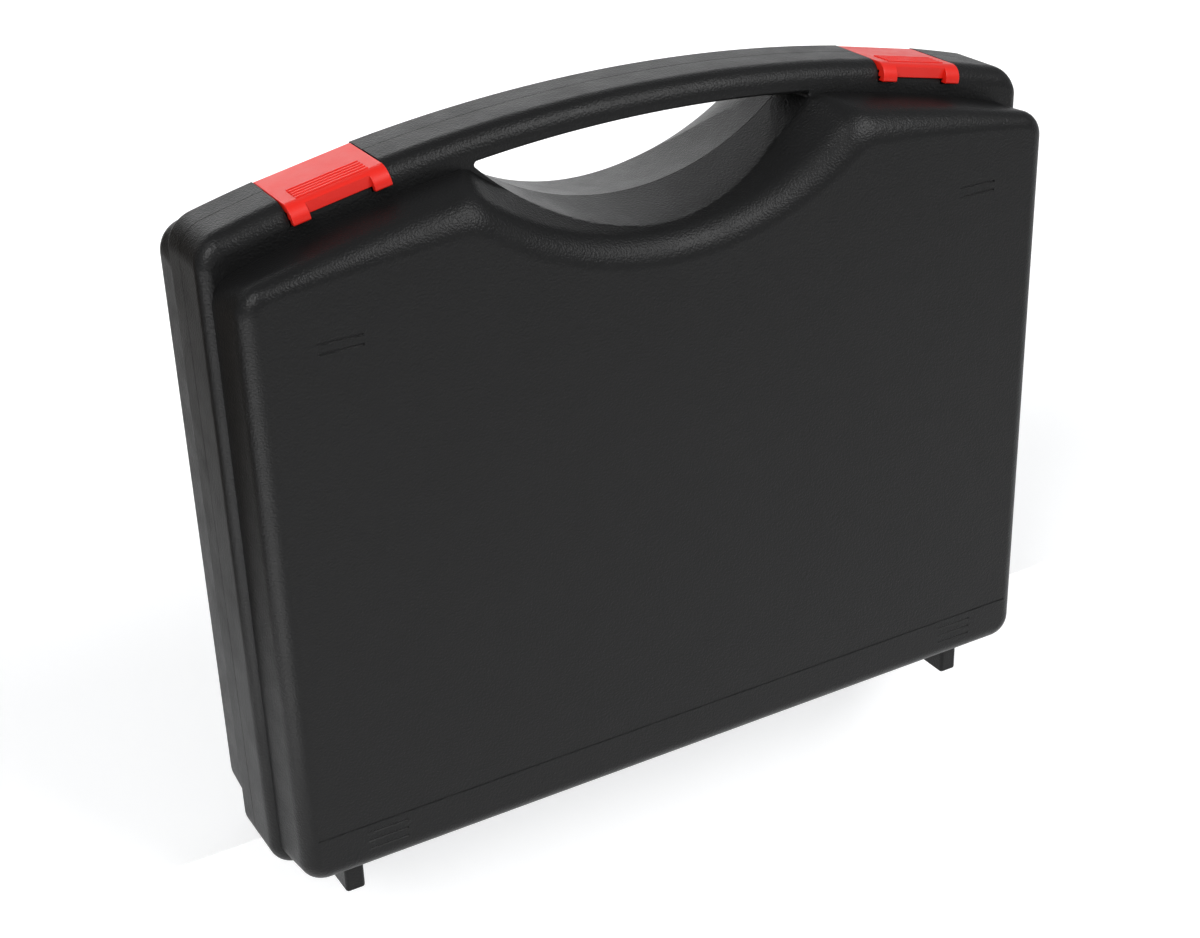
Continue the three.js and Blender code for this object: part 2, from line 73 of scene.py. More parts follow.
# Steps of the curves
CORNER_STEPS = 16
EDGE_STEPS = 10
SHOULDER_STEPS = 26
CUSP_STEPS = 14
SCOOP_STEPS = 64
ARCH_STEPS = 104
FLOOR_STEPS = 64
TIP_STEPS = 8
UNDER_STEPS = 44
PAN_STEPS = 9
SMALL_STEPS = 5
ROD_SIDES = 40

# How far a cut runs past the surface that it opens, and the gaps between the pieces
OVERRUN = 0.001
JOINT_GAP = 0.0003
FIT_GAP = 0.0003
PIN_GAP = 0.0001

# Short lines at each end of a face, low down and high up
LOWER_MARK_COUNT = 3
UPPER_MARK_COUNT = 2

# Share of a rib's height by which its upper edges are rounded
RIB_ROUND_SHARE = 0.8

# Angles from which an edge between two faces shows as sharp
FRONT_CREASE = math.radians(44)
REAR_CREASE = math.radians(28)
LATCH_CREASE = math.radians(32)
WIRE_CREASE = math.radians(50)
TABLE_CREASE = math.radians(30)

# Patches in which colour and gloss drift, the lines along a wire, and how detailed each is
BLACK_TONE_PATCH = 0.05
BLACK_GLOSS_PATCH = 0.012
RED_TONE_PATCH = 0.02
RED_GLOSS_PATCH = 0.006
STAGE_TONE_PATCH = 0.8
WIRE_LINE = 0.0003
WIRE_LINE_DEPTH = 0.00001
WIRE_STRETCH_SHARES = (0.03, 1, 1)
GRAIN_DETAIL = 1
TONE_DETAIL = 2
GLOSS_DETAIL = 4

# Shares of its colour between which a material drifts, and how far its roughness strays
BLACK_TONE_SHARES = (0.9, 1.15)
RED_TONE_SHARES = (0.94, 1.04)
STEEL_TONE_SHARES = (0.85, 1)
STAGE_TONE_SHARES = (0.98, 1)
BLACK_STRAY = (-0.03, 0.04)
RED_STRAY = (-0.04, 0.05)
STEEL_STRAY = (-0.06, 0.08)
NOISE_MIDDLE_SHARES = (0.3, 0.7)
LATCH_GRAIN_SIZE_SHARE = 1 / 2
LATCH_GRAIN_DEPTH_SHARE = 1 / 8

# Strength of the mirror-like part of each material, and the stage's roughness
BLACK_SPECULAR = 0.25
RED_SPECULAR = 0.4
STAGE_SPECULAR = 0.1
STAGE_ROUGHNESS = 0.9

# Table with a sweep behind; its near edge lies under the rear feet
TABLE_HALF = 4.0
TABLE_EDGE = 0.026
TABLE_DROP = 0.2
SWEEP_BACK = 3.0
SWEEP_BEND = 1.0
SWEEP_TOP = 2.4
SWEEP_GLOW_SHARE = 0.32
SWEEP_MIRRORED_SHARE = 0.45

# Sheets that stand a little above the table and show only in reflections: a bent dark one, a painted
# dark reflection on the case's left faces, and a flat bright one that glows, a painted highlight on
# its upright edges
REFLECTION_SHEET_LIFT = 0.001
DARK_REFLECTION_SHEET_LEFT = -1.3
DARK_REFLECTION_SHEET_RIGHT = -0.32
DARK_REFLECTION_SHEET_NEAR = 0.1
DARK_REFLECTION_SHEET_FAR = 0.9
DARK_REFLECTION_SHEET_TOP = 0.7
# Painted dark reflection: the brownish tone that the case's left faces mirror from the dark sheet
PAINTED_DARK_REFLECTION_TONE = (0.08, 0.065, 0.05)
# Painted highlight: a flat sheet that glows though it is no lamp, seen only in reflections, which
# brightens the case's upright edges
PAINTED_HIGHLIGHT_CORNERS = ((-0.3, -0.06), (-1.4, -0.1), (-0.9, -1), (-0.26, -0.2))
PAINTED_HIGHLIGHT_TONE = (0.9, 0.9, 0.9)
PAINTED_HIGHLIGHT_GLOW = 2.2

# Each light's place, the point that it faces, its width and height, and its power in watts
CASE_MIDDLE = (0, 0, 0.2)
LIGHTS = {
    "RightSoftbox": ((0.9, -1.42, 1.72), CASE_MIDDLE, (1.0, 1.0), 24),
    "LeftSoftbox": ((-1.36, -0.99, 1.7), CASE_MIDDLE, (0.9, 0.9), 26),
    "WallLight": ((0.3, 1.2, 2.4), (0.5, 3, 1.6), (1.8, 0.8), 72),
}

# Light of the surroundings, and how much brighter the camera sees them
SKY_COLOUR = (0.95, 0.97, 1)
SKY_STRENGTH = 0.35
SKY_SHOWN = 0.7

# Camera, fitted to the edges of the case in the photograph
CAMERA_PLACE = (-0.41397, -0.71649, 0.57202)
CAMERA_TURN = (1.0981, 0.0315, -0.5225)
CAMERA_LENS = 61.107
CAMERA_SENSOR = 36
CAMERA_NEAR = 0.01


def length(name, value, description):
    """A distance that a user may change, shown in the scene's units"""
    return bpy.props.FloatProperty(
        name=name, description=description, default=value, min=0, precision=5, unit="LENGTH"
    )


def colour(name, value, description):
    """A linear colour that a user may change"""
    return bpy.props.FloatVectorProperty(
        name=name, description=description, default=value, size=3, min=0, max=1, subtype="COLOR"
    )


def share(name, value, description):
    """A number between nothing and one that a user may change"""
    return bpy.props.FloatProperty(
        name=name, description=description, default=value, min=0, max=1, subtype="FACTOR"
    )


class CaseShellSizes(bpy.types.PropertyGroup):
    """Sizes of the two moulded shells"""

    wall: length("Wall", 0.0024, "Thickness of the moulded wall")
    rim_half: length("Half width", CASE_HIGH[0], "From the middle to the rim's side")
    arch_top: length("Arch top", CASE_HIGH[2], "Height of the grip's crown above the floor")
    arch_radius: length("Arch radius", 0.72, "Radius of the long arch that the grip follows")
    rim_bottom: length("Rim bottom", 0.016, "Height of the rim's foot above the floor")
    rim_top_corner: length("Rim top corner", 0.014, "Radius of the rim's upper corners")
    rim_bottom_corner: length("Rim bottom corner", 0.012, "Radius of the rim's lower corners")
    front_rim_depth: length("Front rim depth", 0.022, "From the joint line to the front flange")
    rear_rim_depth: length("Rear rim depth", 0.0142, "From the joint line to the rear flange")
    front_crown_edge: length("Grip edge", 0.009, "Rounding of the grip's front top edge")
    front_side_edge: length("Rim side edge", 0.0055, "Rounding of the rim's front side edges")
    rear_edge: length("Rear rim edge", 0.0024, "Rounding of the rear rim's edges")
    shell_depth: length("Shell depth", CASE_HIGH[1], "From the joint line to a shell's outer face")
    pan_step: length("Pan step", 0.0036, "Flange between the rim's side and the pan")
    pan_draft: length("Pan draft", 0.0018, "How far the pan's sides lean in over its depth")
    pan_top_corner: length("Pan top corner", 0.013, "Radius of the pan's upper corners")
    pan_bottom_corner: length("Pan bottom corner", 0.011, "Radius of the pan's lower corners")
    pan_side_edge: length("Pan side edge", 0.0074, "Rounding of the face's side and bottom edges")
    pan_crown_edge: length("Pan crown edge", 0.0102, "Rounding of the face's edge below the grip")
    shoulder_bow_share: share("Shoulder bow", 0.8, "Bow of the shoulders and of the rear scoop")
    shoulder_drop: length("Shoulder drop", 0.0122, "From the arch down to the shoulder's root")
    shoulder_radius: length("Shoulder radius", 0.632, "Radius of the shoulder's root")
    shoulder_face_drop: length("Face drop", 0.0223, "From the arch down to the face's top edge")
    shoulder_face_radius: length("Face top radius", 1.105, "Radius of the face's top edge")
    cusp_face_edge: length("Cusp at the face", 0.026, "Rounding of the cusp at the face")
    cusp_root_edge: length("Cusp at the root", 0.008, "Rounding of the cusp at the flange")
    scoop_face_drop: length("Scoop at the face", 0.0585, "From the arch down to the scoop's foot")
    scoop_root_drop: length("Scoop at the root", 0.0495, "The same, at the flange")
    scoop_face_radius: length("Scoop radius", 0.142, "Radius of the scoop at the face")
    scoop_root_radius: length("Scoop root radius", 0.127, "Radius of the scoop at the flange")


class CaseOpeningSizes(bpy.types.PropertyGroup):
    """Sizes of the hand opening and of the lines in the faces"""

    grip_height: length("Grip height", 0.0115, "Height of the grip at its outer edges")
    grip_draft: length("Grip draft", 0.001, "How much lower the grip is at the joint line")
    grip_under_radius: length("Grip under radius", 0.633, "Radius of the grip's underside")
    grip_edge: length("Grip under edge", 0.0015, "Rounding of the grip's lower edges")
    floor_drop: length("Floor drop", 0.0504, "From the arch down to the floor at the joint line")
    front_floor_fall: length("Front fall", 0.0049, "How far the floor falls to the front face")
    rear_floor_fall: length("Rear fall", 0.00635, "How far the floor falls to the rear face")
    floor_joint_radius: length("Floor radius", 0.117, "Radius of the floor at the joint line")
    floor_face_radius: length("Floor face radius", 0.1043, "Radius of the floor at the faces")
    tip_radius: length("Tip radius", 0.0016, "Rounding of the opening's two tips")
    mark_depth: length("Mark depth", 0.0005, "Depth of the lines in the faces")
    mark_height: length("Mark height", 0.0013, "Height of a short line")
    mark_length: length("Mark length", 0.019, "Length of a short line")
    mark_pitch: length("Mark pitch", 0.0041, "From one short line to the next")
    mark_middle: length("Mark place", 0.1535, "From the middle of the case to the short lines")
    lower_marks: length("Lower marks", 0.0399, "Height of the highest lower short line")
    upper_marks: length("Upper marks", 0.2675, "Height of the highest upper short line")
    band_line: length("Band line", 0.0441, "Height of the long line")
    band_height: length("Band line width", 0.001, "Width of the long line")
    band_half: length("Band line reach", 0.185, "From the middle to the long line's end")


class CaseFootingSizes(bpy.types.PropertyGroup):
    """Sizes of the feet and of the hinge under the case"""

    foot_x: length("Foot place", 0.1649, "From the middle of the case to a foot")
    foot_width: length("Foot width", 0.0092, "Width of a foot")
    foot_depth: length("Foot depth", 0.0153, "Depth of a foot")
    foot_setback: length("Foot setback", 0.0157, "From a shell's face to its feet")
    foot_corner: length("Foot corner", 0.0016, "Radius of a foot's upright corners")
    foot_edge: length("Foot edge", 0.0012, "Rounding of a foot's lower edge")
    hinge_z: length("Hinge height", 0.011, "Height of the hinge pins above the floor")
    hinge_x: length("Hinge place", 0.096, "From the middle of the case to a hinge")
    hinge_length: length("Hinge length", 0.064, "Length of one group of knuckles")
    knuckle_radius: length("Knuckle radius", 0.004, "Radius of the hinge knuckles")
    knuckle_gap: length("Knuckle gap", 0.0005, "Gap between two knuckles")
    knuckle_count: bpy.props.IntProperty(
        name="Knuckles", description="Knuckles in one group", default=5, min=3
    )
    pin_radius: length("Hinge pin radius", 0.0015, "Radius of the hinge pins")


class CaseLatchSizes(bpy.types.PropertyGroup):
    """Sizes of the snap latches and of their pockets"""

    place: length("Latch place", 0.1394, "From the middle of the case to a latch")
    width: length("Latch width", 0.0426, "Width of a latch")
    sink: length("Latch sink", 0.0004, "How far the plate lies below the arch")
    plate: length("Plate", 0.0036, "Thickness of the plate")
    front: length("Latch front", 0.0252, "From the joint line to the latch's front")
    lip: length("Latch lip", 0.0226, "From the joint line to the lip between the legs")
    lip_reach: length("Lip reach", 0.0065, "From the arch down to the lip's end")
    lip_thickness: length("Lip thickness", 0.002, "Thickness of the lip between the legs")
    nose: length("Nose radius", 0.0066, "Rounding of the plate over its front edge")
    leg_width: length("Leg width", 0.0075, "Width of a leg")
    leg_thickness: length("Leg thickness", 0.0029, "Thickness of a leg")
    leg_reach: length("Leg reach", 0.0082, "From the arch down to a leg's end")
    tooth_depth: length("Tooth depth", 0.0016, "How far a leg's tooth stands in")
    tooth_height: length("Tooth height", 0.0018, "Height of a leg's tooth")
    pivot: length("Pivot", 0.0106, "From the joint line to the latch pin")
    barrel: length("Barrel radius", 0.0034, "Radius of the latch's barrel")
    edge: length("Latch edge", 0.0007, "Rounding of a latch's edges")
    pin_radius: length("Latch pin radius", 0.001, "Radius of the latch pins")
    rib_length: length("Rib length", 0.031, "Length of a grip rib")
    rib_width: length("Rib width", 0.0012, "Width of a grip rib")
    rib_height: length("Rib height", 0.00045, "Height of a grip rib above the plate")
    rib_pitch: length("Rib pitch", 0.0024, "From one grip rib to the next")
    first_rib: length("First rib", 0.0182, "From the joint line to the first grip rib")
    rib_count: bpy.props.IntProperty(
        name="Ribs", description="Grip ribs on a latch", default=5, min=1
    )
    cheek: length("Cheek", 0.003, "Wall beside a pocket, which holds the pin")
    housing: length("Housing depth", 0.0114, "From the arch down to the housing's underside")
    slot_gap: length("Slot gap", 0.0005, "Gap beside a leg in its slot")
    slot_room: length("Slot room", 0.0008, "Room below a leg in its slot")


class CaseInsideSizes(bpy.types.PropertyGroup):
    """Sizes of the lip and the walls inside the rear shell"""

    lip_height: length("Lip height", 0.0025, "How far the lip reaches into the front shell")
    lip_thickness: length("Lip thickness", 0.0014, "Thickness of the lip")
    lip_root: length("Lip root", 0.003, "Depth of the lip's root behind the joint line")
    lip_top: length("Lip top", 0.292, "Height at which the lip ends")
    bay_wall: length("Bay wall", 0.002, "Thickness of the bay's walls")
    bay_top: length("Bay top", 0.112, "Height of the wall over the bay")
    bay_reach: length("Bay reach", 0.012, "From the joint line to the bay's walls")
    bay_post: length("Bay post", 0.066, "From the middle of the case to the bay's upright")
    cradle_x: length("Cradle place", 0.074, "From the middle of the case to a cradle")
    cradle_wall: length("Cradle wall", 0.0024, "Thickness of a cradle")
    cradle_bottom: length("Cradle bottom", 0.128, "Height of a cradle's lower end")
    cradle_top: length("Cradle top", 0.252, "Height of a cradle's upper end")
    cradle_reach: length("Cradle reach", 0.022, "From the joint line to a cradle's edge")
    notch_z: length("Notch height", 0.19, "Height of the notch for the machine's body")
    notch_radius: length("Notch radius", 0.034, "Half height of the notch")


class CaseFinish(bpy.types.PropertyGroup):
    """Colours and surfaces"""

    shell_colour: colour("Shells", (0.0054, 0.0054, 0.0055), "Black moulded plastic")
    latch_colour: colour("Latches", (0.74, 0.014, 0.006), "Red moulded plastic")
    pin_colour: colour("Pins", (0.6, 0.61, 0.62), "Drawn steel wire")
    floor_colour: colour("Floor", (0.93, 0.93, 0.93), "Pale studio floor")
    shell_roughness: share("Shell roughness", 0.4, "Roughness of the black plastic")
    latch_roughness: share("Latch roughness", 0.36, "Roughness of the red plastic")
    pin_roughness: share("Pin roughness", 0.28, "Roughness of the steel wire")
    grain: length("Grain", 0.0009, "Size of the moulded grain")
    grain_depth: length("Grain depth", 0.00022, "Depth of the moulded grain")


def mix(start, end, part):
    """The value that lies the given part of the way from start to end"""
    return start + (end - start) * part


def clamp(value):
    """The value, kept between nothing and one"""
    return min(max(value, 0), 1)


def points(*places):
    """Points of an outline, given as pairs"""
    return [Vector(place) for place in places]


def arc(centre_x, centre_z, radius, start, end, steps):
    """Points along a round curve between two angles"""
    places = []
    for k in range(steps + 1):
        angle = mix(start, end, k / steps)
        places.append((centre_x + radius * math.cos(angle), centre_z + radius * math.sin(angle)))
    return points(*places)


def quarter_turn(steps):
    """Angles from nothing to a right angle"""
    return [k / steps * math.pi / 2 for k in range(steps + 1)]


def mirrored(outline):
    """The same points on the other side of the middle, in reverse order"""
    return [Vector((-point.x, point.y)) for point in reversed(outline)]


def rounded(corners):
    """Outline through corners given as place and radius, with each corner rounded"""
    outline = []
    count = len(corners)
    for k, (x, z, radius) in enumerate(corners):
        here = Vector((x, z))
        if radius == 0:
            outline.append(here)
            continue
        before = (Vector(corners[k - 1][:2]) - here).normalized()
        after = (Vector(corners[(k + 1) % count][:2]) - here).normalized()
        half = before.angle(after) / 2
        centre = here + (before + after).normalized() * radius / math.sin(half)
        start = here + before * radius / math.tan(half) - centre
        end = here + after * radius / math.tan(half) - centre
        first = math.atan2(start.y, start.x)
        turn = (math.atan2(end.y, end.x) - first + math.pi) % math.tau - math.pi
        outline += arc(centre.x, centre.y, radius, first, first + turn, SMALL_STEPS)
    return outline


def inset(outline, amounts):
    """Moves each point of an outline inwards, all by one amount or each by its own"""
    count = len(outline)
    if not isinstance(amounts, list):
        amounts = [amounts] * count
    shifted = []
    for k, point in enumerate(outline):
        edge_in = (point - outline[k - 1]).normalized()
        edge_out = (outline[(k + 1) % count] - point).normalized()
        normal = Vector((-edge_in.y - edge_out.y, edge_in.x + edge_out.x))
        shifted.append(point + normal * amounts[k] / (1 + edge_in.dot(edge_out)))
    return shifted


def corner_pair(half, bottom, crown, crown_radius, bottom_radius, top_radius):
    """Right half of an outline's foot and side, up to where it runs into its crown"""
    corner_x = half - top_radius
    crown_centre = crown - crown_radius
    reach = crown_radius - top_radius
    corner_z = crown_centre + math.sqrt(reach**2 - corner_x**2)
    crown_angle = math.atan2(corner_z - crown_centre, corner_x)
    foot_x = half - bottom_radius
    foot_z = bottom + bottom_radius
    low = arc(foot_x, foot_z, bottom_radius, -math.pi / 2, 0, CORNER_STEPS)
    high = arc(corner_x, corner_z, top_radius, 0, crown_angle, CORNER_STEPS)
    return low + high, crown_angle, crown_centre


def rim_outline(sizes):
    """Outline of the rim: straight sides and foot under the long arch of the grip"""
    right, angle, centre = corner_pair(
        sizes.rim_half, sizes.rim_bottom, sizes.arch_top, sizes.arch_radius,
        sizes.rim_bottom_corner, sizes.rim_top_corner,
    )
    arch = arc(0, centre, sizes.arch_radius, angle, math.pi - angle, ARCH_STEPS)
    return right + arch[1:-1] + mirrored(right)


def rim_depth(sizes, side):
    """Depth of one shell's rim"""
    return sizes.rear_rim_depth if side == REAR else sizes.front_rim_depth


def rim_edges(sizes, side, outline):
    """Rounding of the rim's outer edge at each point of its outline"""
    if side == REAR:
        return [sizes.rear_edge] * len(outline)
    top = sizes.arch_top - sizes.shoulder_face_drop
    edges = []
    for point in outline:
        high = clamp((point.y - top) / sizes.rim_top_corner + 1)
        edges.append(mix(sizes.front_side_edge, sizes.front_crown_edge, high))
    return edges


def pan_outline(sizes, side, part):
    """Outline of a pan, the given part of the way from its outer face to its flange"""
    half = sizes.rim_half - sizes.pan_step - mix(sizes.pan_draft, 0, part)
    bottom = sizes.rim_bottom + sizes.pan_step + mix(sizes.pan_draft, 0, part)
    bowed = 1 - (1 - part) ** (1 + sizes.shoulder_bow_share)
    crown = sizes.arch_top - mix(sizes.shoulder_face_drop, sizes.shoulder_drop, bowed)
    crown_radius = 1 / mix(1 / sizes.shoulder_face_radius, 1 / sizes.shoulder_radius, bowed)
    right, angle, centre = corner_pair(
        half, bottom, crown, crown_radius, sizes.pan_bottom_corner, sizes.pan_top_corner
    )
    cusp = mix(sizes.cusp_face_edge, sizes.cusp_root_edge, bowed)
    if side == REAR:
        part = bowed
    scoop_radius = mix(sizes.scoop_face_radius, sizes.scoop_root_radius, part)
    scoop_foot = sizes.arch_top - mix(sizes.scoop_face_drop, sizes.scoop_root_drop, part)
    scoop_centre = scoop_foot + scoop_radius
    inner = crown_radius - cusp
    outer = scoop_radius + cusp
    between = scoop_centre - centre
    rise = (inner**2 - outer**2 + between**2) / (2 * between)
    cusp_x = math.sqrt(inner**2 - rise**2)
    start = math.atan2(rise, cusp_x)
    end = math.atan2(between - rise, -cusp_x)
    shoulder = arc(0, centre, crown_radius, angle, start, SHOULDER_STEPS)
    tip = arc(cusp_x, centre + rise, cusp, start, end, CUSP_STEPS)
    scoop = arc(0, scoop_centre, scoop_radius, end - math.pi, -end, SCOOP_STEPS)
    right = right + shoulder[1:-1] + tip
    return right + scoop[1:-1] + mirrored(right)


def pan_edges(sizes, outline):
    """Rounding of the face's edge at each point of the pan's outline"""
    low = sizes.arch_top - sizes.scoop_face_drop - sizes.scoop_face_radius / 2
    high = sizes.arch_top - sizes.scoop_face_drop
    cusp_x = sizes.rim_half / 2
    edges = []
    for point in outline:
        upper = clamp((point.y - low) / (high - low))
        inward = clamp((sizes.rim_half - abs(point.x)) / (sizes.rim_half - cusp_x))
        edges.append(mix(sizes.pan_side_edge, sizes.pan_crown_edge, upper * inward))
    return edges


def opening_outline(sizes, hole, side, depth, grow):
    """Outline of the hand opening at a depth from the joint line, grown by the given amount"""
    fall = hole.rear_floor_fall if side == REAR else hole.front_floor_fall
    part = depth / sizes.shell_depth
    rim = rim_depth(sizes, side)
    floor = sizes.arch_top - hole.floor_drop - fall * part
    floor_radius = mix(hole.floor_joint_radius, hole.floor_face_radius, part) + grow
    floor_centre = floor + floor_radius - grow
    grip = hole.grip_height + hole.grip_draft * (1 - depth / rim)
    over = clamp((depth - rim + hole.grip_edge) / hole.grip_edge)
    grip -= hole.grip_edge * (1 - math.sqrt(1 - over**2))
    under_radius = hole.grip_under_radius + grow
    under_centre = sizes.arch_top - grip - hole.grip_under_radius
    tip_radius = hole.tip_radius + grow
    inner = floor_radius - tip_radius
    outer = under_radius - tip_radius
    between = floor_centre - under_centre
    below = (inner**2 - outer**2 + between**2) / (2 * between)
    tip_z = floor_centre - below
    tip_x = math.sqrt(inner**2 - below**2)
    floor_angle = math.atan2(-below, tip_x)
    under_angle = math.atan2(tip_z - under_centre, tip_x)
    low = arc(0, floor_centre, floor_radius, -math.pi - floor_angle, floor_angle, FLOOR_STEPS)
    tip = arc(tip_x, tip_z, tip_radius, floor_angle, under_angle, TIP_STEPS)[1:]
    high = arc(0, under_centre, under_radius, under_angle, math.pi - under_angle, UNDER_STEPS)
    return low + tip + high[1:-1] + mirrored(tip)


def tidy_normals(mesh):
    """Turns every face of a closed mesh outwards"""
    work = bmesh.new()
    work.from_mesh(mesh)
    if work.calc_volume(signed=True) < 0:
        bmesh.ops.reverse_faces(work, faces=work.faces)
    work.to_mesh(mesh)
    work.free()


def skin(name, rings):
    """Joins a row of closed rings into one solid with flat ends"""
    count = len(rings[0])
    vertices = [tuple(point) for ring in rings for point in ring]
    faces = []
    for row in range(len(rings) - 1):
        for k in range(count):
            here = row * count + k
            ahead = row * count + (k + 1) % count
            faces.append((here, here + count, ahead + count, ahead))
    last = (len(rings) - 1) * count
    faces.append(tuple(range(count)))
    faces.append(tuple(range(last + count - 1, last - 1, -1)))
    mesh = bpy.data.meshes.new(name)
    mesh.from_pydata(vertices, [], faces)
    tidy_normals(mesh)
    return mesh


def loft(name, sections, side=REAR):
    """Solid through outlines at different depths on one side of the joint line"""
    rings = []
    for depth, outline in sorted(sections, key=lambda section: section[0]):
        rings.append([(point.x, side * depth, point.y) for point in outline])
    return skin(name, rings)


def slab(name, outline, low, high):
    """Solid with one outline between two depths"""
    return loft(name, [(low, outline), (high, outline)])


def bar(name, outline, half, middle=0, edge=0):
    """Solid with its outline in Y and Z, pushed along X, with rounded ends if an edge is given"""
    rings = []
    for end in ENDS:
        steps = []
        for angle in quarter_turn(SMALL_STEPS) if edge else [0]:
            x = middle + end * (half - edge * (1 - math.cos(angle)))
            around = inset(outline, edge * (1 - math.sin(angle))) if edge else outline
            steps.append([(x, point.x, point.y) for point in around])
        rings += steps if end == LEFT else reversed(steps)
    return skin(name, rings)


def sided(profile, side):
    """A profile in Y and Z that is drawn for the rear shell, turned to the given side"""
    turned = [Vector((side * point.x, point.y)) for point in profile]
    return turned[::-1] if side == REAR else turned


def rod(name, radius, half, middle, y, z, edge=0):
    """Round rod along X, with rounded ends if an edge is given"""
    circle = arc(y, z, radius, 0, math.tau * (1 - 1 / ROD_SIDES), ROD_SIDES - 1)
    return bar(name, circle, half, middle, edge)


def block(name, low, high):
    """Square block between two corners"""
    left, near, foot = low
    right, far, top = high
    return slab(name, points((left, foot), (right, foot), (right, top), (left, top)), near, far)


def moved(mesh, matrix):
    """The mesh, put in its place"""
    mesh.transform(matrix)
    return mesh


def evaluated(item, name):
    """The mesh that an object's modifiers make of its own"""
    graph = bpy.context.evaluated_depsgraph_get()
    mesh = bpy.data.meshes.new_from_object(item.evaluated_get(graph))
    mesh.name = name
    return mesh


def combine(base, steps):
    """Joins, cuts or trims a mesh with others, given as pairs of what to do and with what"""
    body = bpy.data.objects.new(base.name, base)
    made = [body]
    for operation, tool in steps:
        other = bpy.data.objects.new(tool.name, tool)
        other.hide_render = True
        made.append(other)
        modifier = body.modifiers.new(tool.name, "BOOLEAN")
        modifier.operation = operation
        modifier.solver = "MANIFOLD"
        modifier.object = other
    for item in made:
        bpy.context.scene.collection.objects.link(item)
    result = evaluated(body, base.name)
    for item in made:
        bpy.data.objects.remove(item)
    check = bmesh.new()
    check.from_mesh(result)
    closed = all(edge.is_manifold for edge in check.edges)
    check.free()
    if not closed or not result.polygons:
        raise RuntimeError(f"{base.name} isn't one closed surface")
    return result


def repeated(mesh, count, first, step, material):
    """Copies of one small solid in a row, made with geometry nodes as one plain mesh"""
    tree = bpy.data.node_groups.new("Row of " + mesh.name, "GeometryNodeTree")
    tree.interface.new_socket("Geometry", in_out="INPUT", socket_type="NodeSocketGeometry")
    tree.interface.new_socket("Geometry", in_out="OUTPUT", socket_type="NodeSocketGeometry")
    taken = tree.nodes.new("NodeGroupInput")
    row = tree.nodes.new("GeometryNodeMeshLine")
    copies = tree.nodes.new("GeometryNodeInstanceOnPoints")
    real = tree.nodes.new("GeometryNodeRealizeInstances")
    painted = tree.nodes.new("GeometryNodeSetMaterial")
    given = tree.nodes.new("NodeGroupOutput")
    values = {}
    for name, kind, value, taker in (
        ("Count", "NodeSocketInt", count, row.inputs["Count"]),
        ("First", "NodeSocketVector", first, row.inputs["Start Location"]),
        ("Step", "NodeSocketVector", step, row.inputs["Offset"]),
        ("Material", "NodeSocketMaterial", material, painted.inputs["Material"]),
    ):
        socket = tree.interface.new_socket(name, in_out="INPUT", socket_type=kind)
        tree.links.new(taken.outputs[name], taker)
        values[socket.identifier] = value
    tree.links.new(row.outputs["Mesh"], copies.inputs["Points"])
    tree.links.new(taken.outputs["Geometry"], copies.inputs["Instance"])
    tree.links.new(copies.outputs["Instances"], real.inputs["Geometry"])
    tree.links.new(real.outputs["Geometry"], painted.inputs["Geometry"])
    tree.links.new(painted.outputs["Geometry"], given.inputs["Geometry"])
    holder = bpy.data.objects.new(mesh.name, mesh)
    bpy.context.scene.collection.objects.link(holder)
    modifier = holder.modifiers.new("Row", "NODES")
    modifier.node_group = tree
    for identifier, value in values.items():
        modifier[identifier] = value
    result = evaluated(holder, mesh.name)
    bpy.data.objects.remove(holder)
    return result


def latch_seat(sizes, latch, end):
    """Place of a latch on the arch, turned to lie along it"""
    tilt = math.asin(latch.place / sizes.arch_radius)
    height = sizes.arch_top - sizes.arch_radius * (1 - math.cos(tilt))
    return Matrix.Translation((end * latch.place, 0, height)) @ Matrix.Rotation(end * tilt, 4, "Y")


def rounded_sections(outline_at, edges, start, end, steps, wall):
    """Sections of a form, or of its hollow one wall inside, that rounds over from its outer end"""
    sections = []
    for angle in quarter_turn(EDGE_STEPS):
        depth = start - max(edges) * (1 - math.cos(angle))
        amounts = []
        for edge in edges:
            sunk = min((start - depth) / edge, 1)
            amounts.append(wall + edge * (1 - math.sqrt(1 - (1 - sunk) ** 2)))
        sections.append((depth, inset(outline_at(depth), amounts)))
    last = sections[-1][0]
    for k in range(1, steps + 1):
        depth = mix(last, end, k / steps)
        sections.append((depth, inset(outline_at(depth), wall)))
    return sections


def pan_sections(sizes, side, end, wall=0):
    """Sections of a pan, or of its hollow one wall inside, from its face to the given depth"""
    deep = sizes.shell_depth - rim_depth(sizes, side)
    start = sizes.shell_depth - wall

    def outline_at(depth):
        return pan_outline(sizes, side, clamp((sizes.shell_depth - depth) / deep))

    edges = [edge - wall for edge in pan_edges(sizes, outline_at(start))]
    return rounded_sections(outline_at, edges, start, end, PAN_STEPS, wall)


def pan_solid(sizes, side):
    """Outer form of a pan, with a straight root that reaches into the rim"""
    rim = rim_depth(sizes, side)
    sections = pan_sections(sizes, side, rim)
    sections.append((rim - sizes.wall, pan_outline(sizes, side, 1)))
    return loft("Pan", sections, side)


def pan_hollow(sizes, side):
    """Inner form of a pan"""
    end = rim_depth(sizes, side) - sizes.wall - OVERRUN
    return loft("Hollow", pan_sections(sizes, side, end, sizes.wall), side)


def rim_form(name, sizes, side, end, wall=0):
    """Form of a rim, or of its hollow one wall inside, from its flange to the given depth"""
    outline = rim_outline(sizes)
    edges = [max(edge - wall, wall / 2) for edge in rim_edges(sizes, side, outline)]
    start = rim_depth(sizes, side) - wall
    return loft(name, rounded_sections(lambda depth: outline, edges, start, end, 1, wall), side)


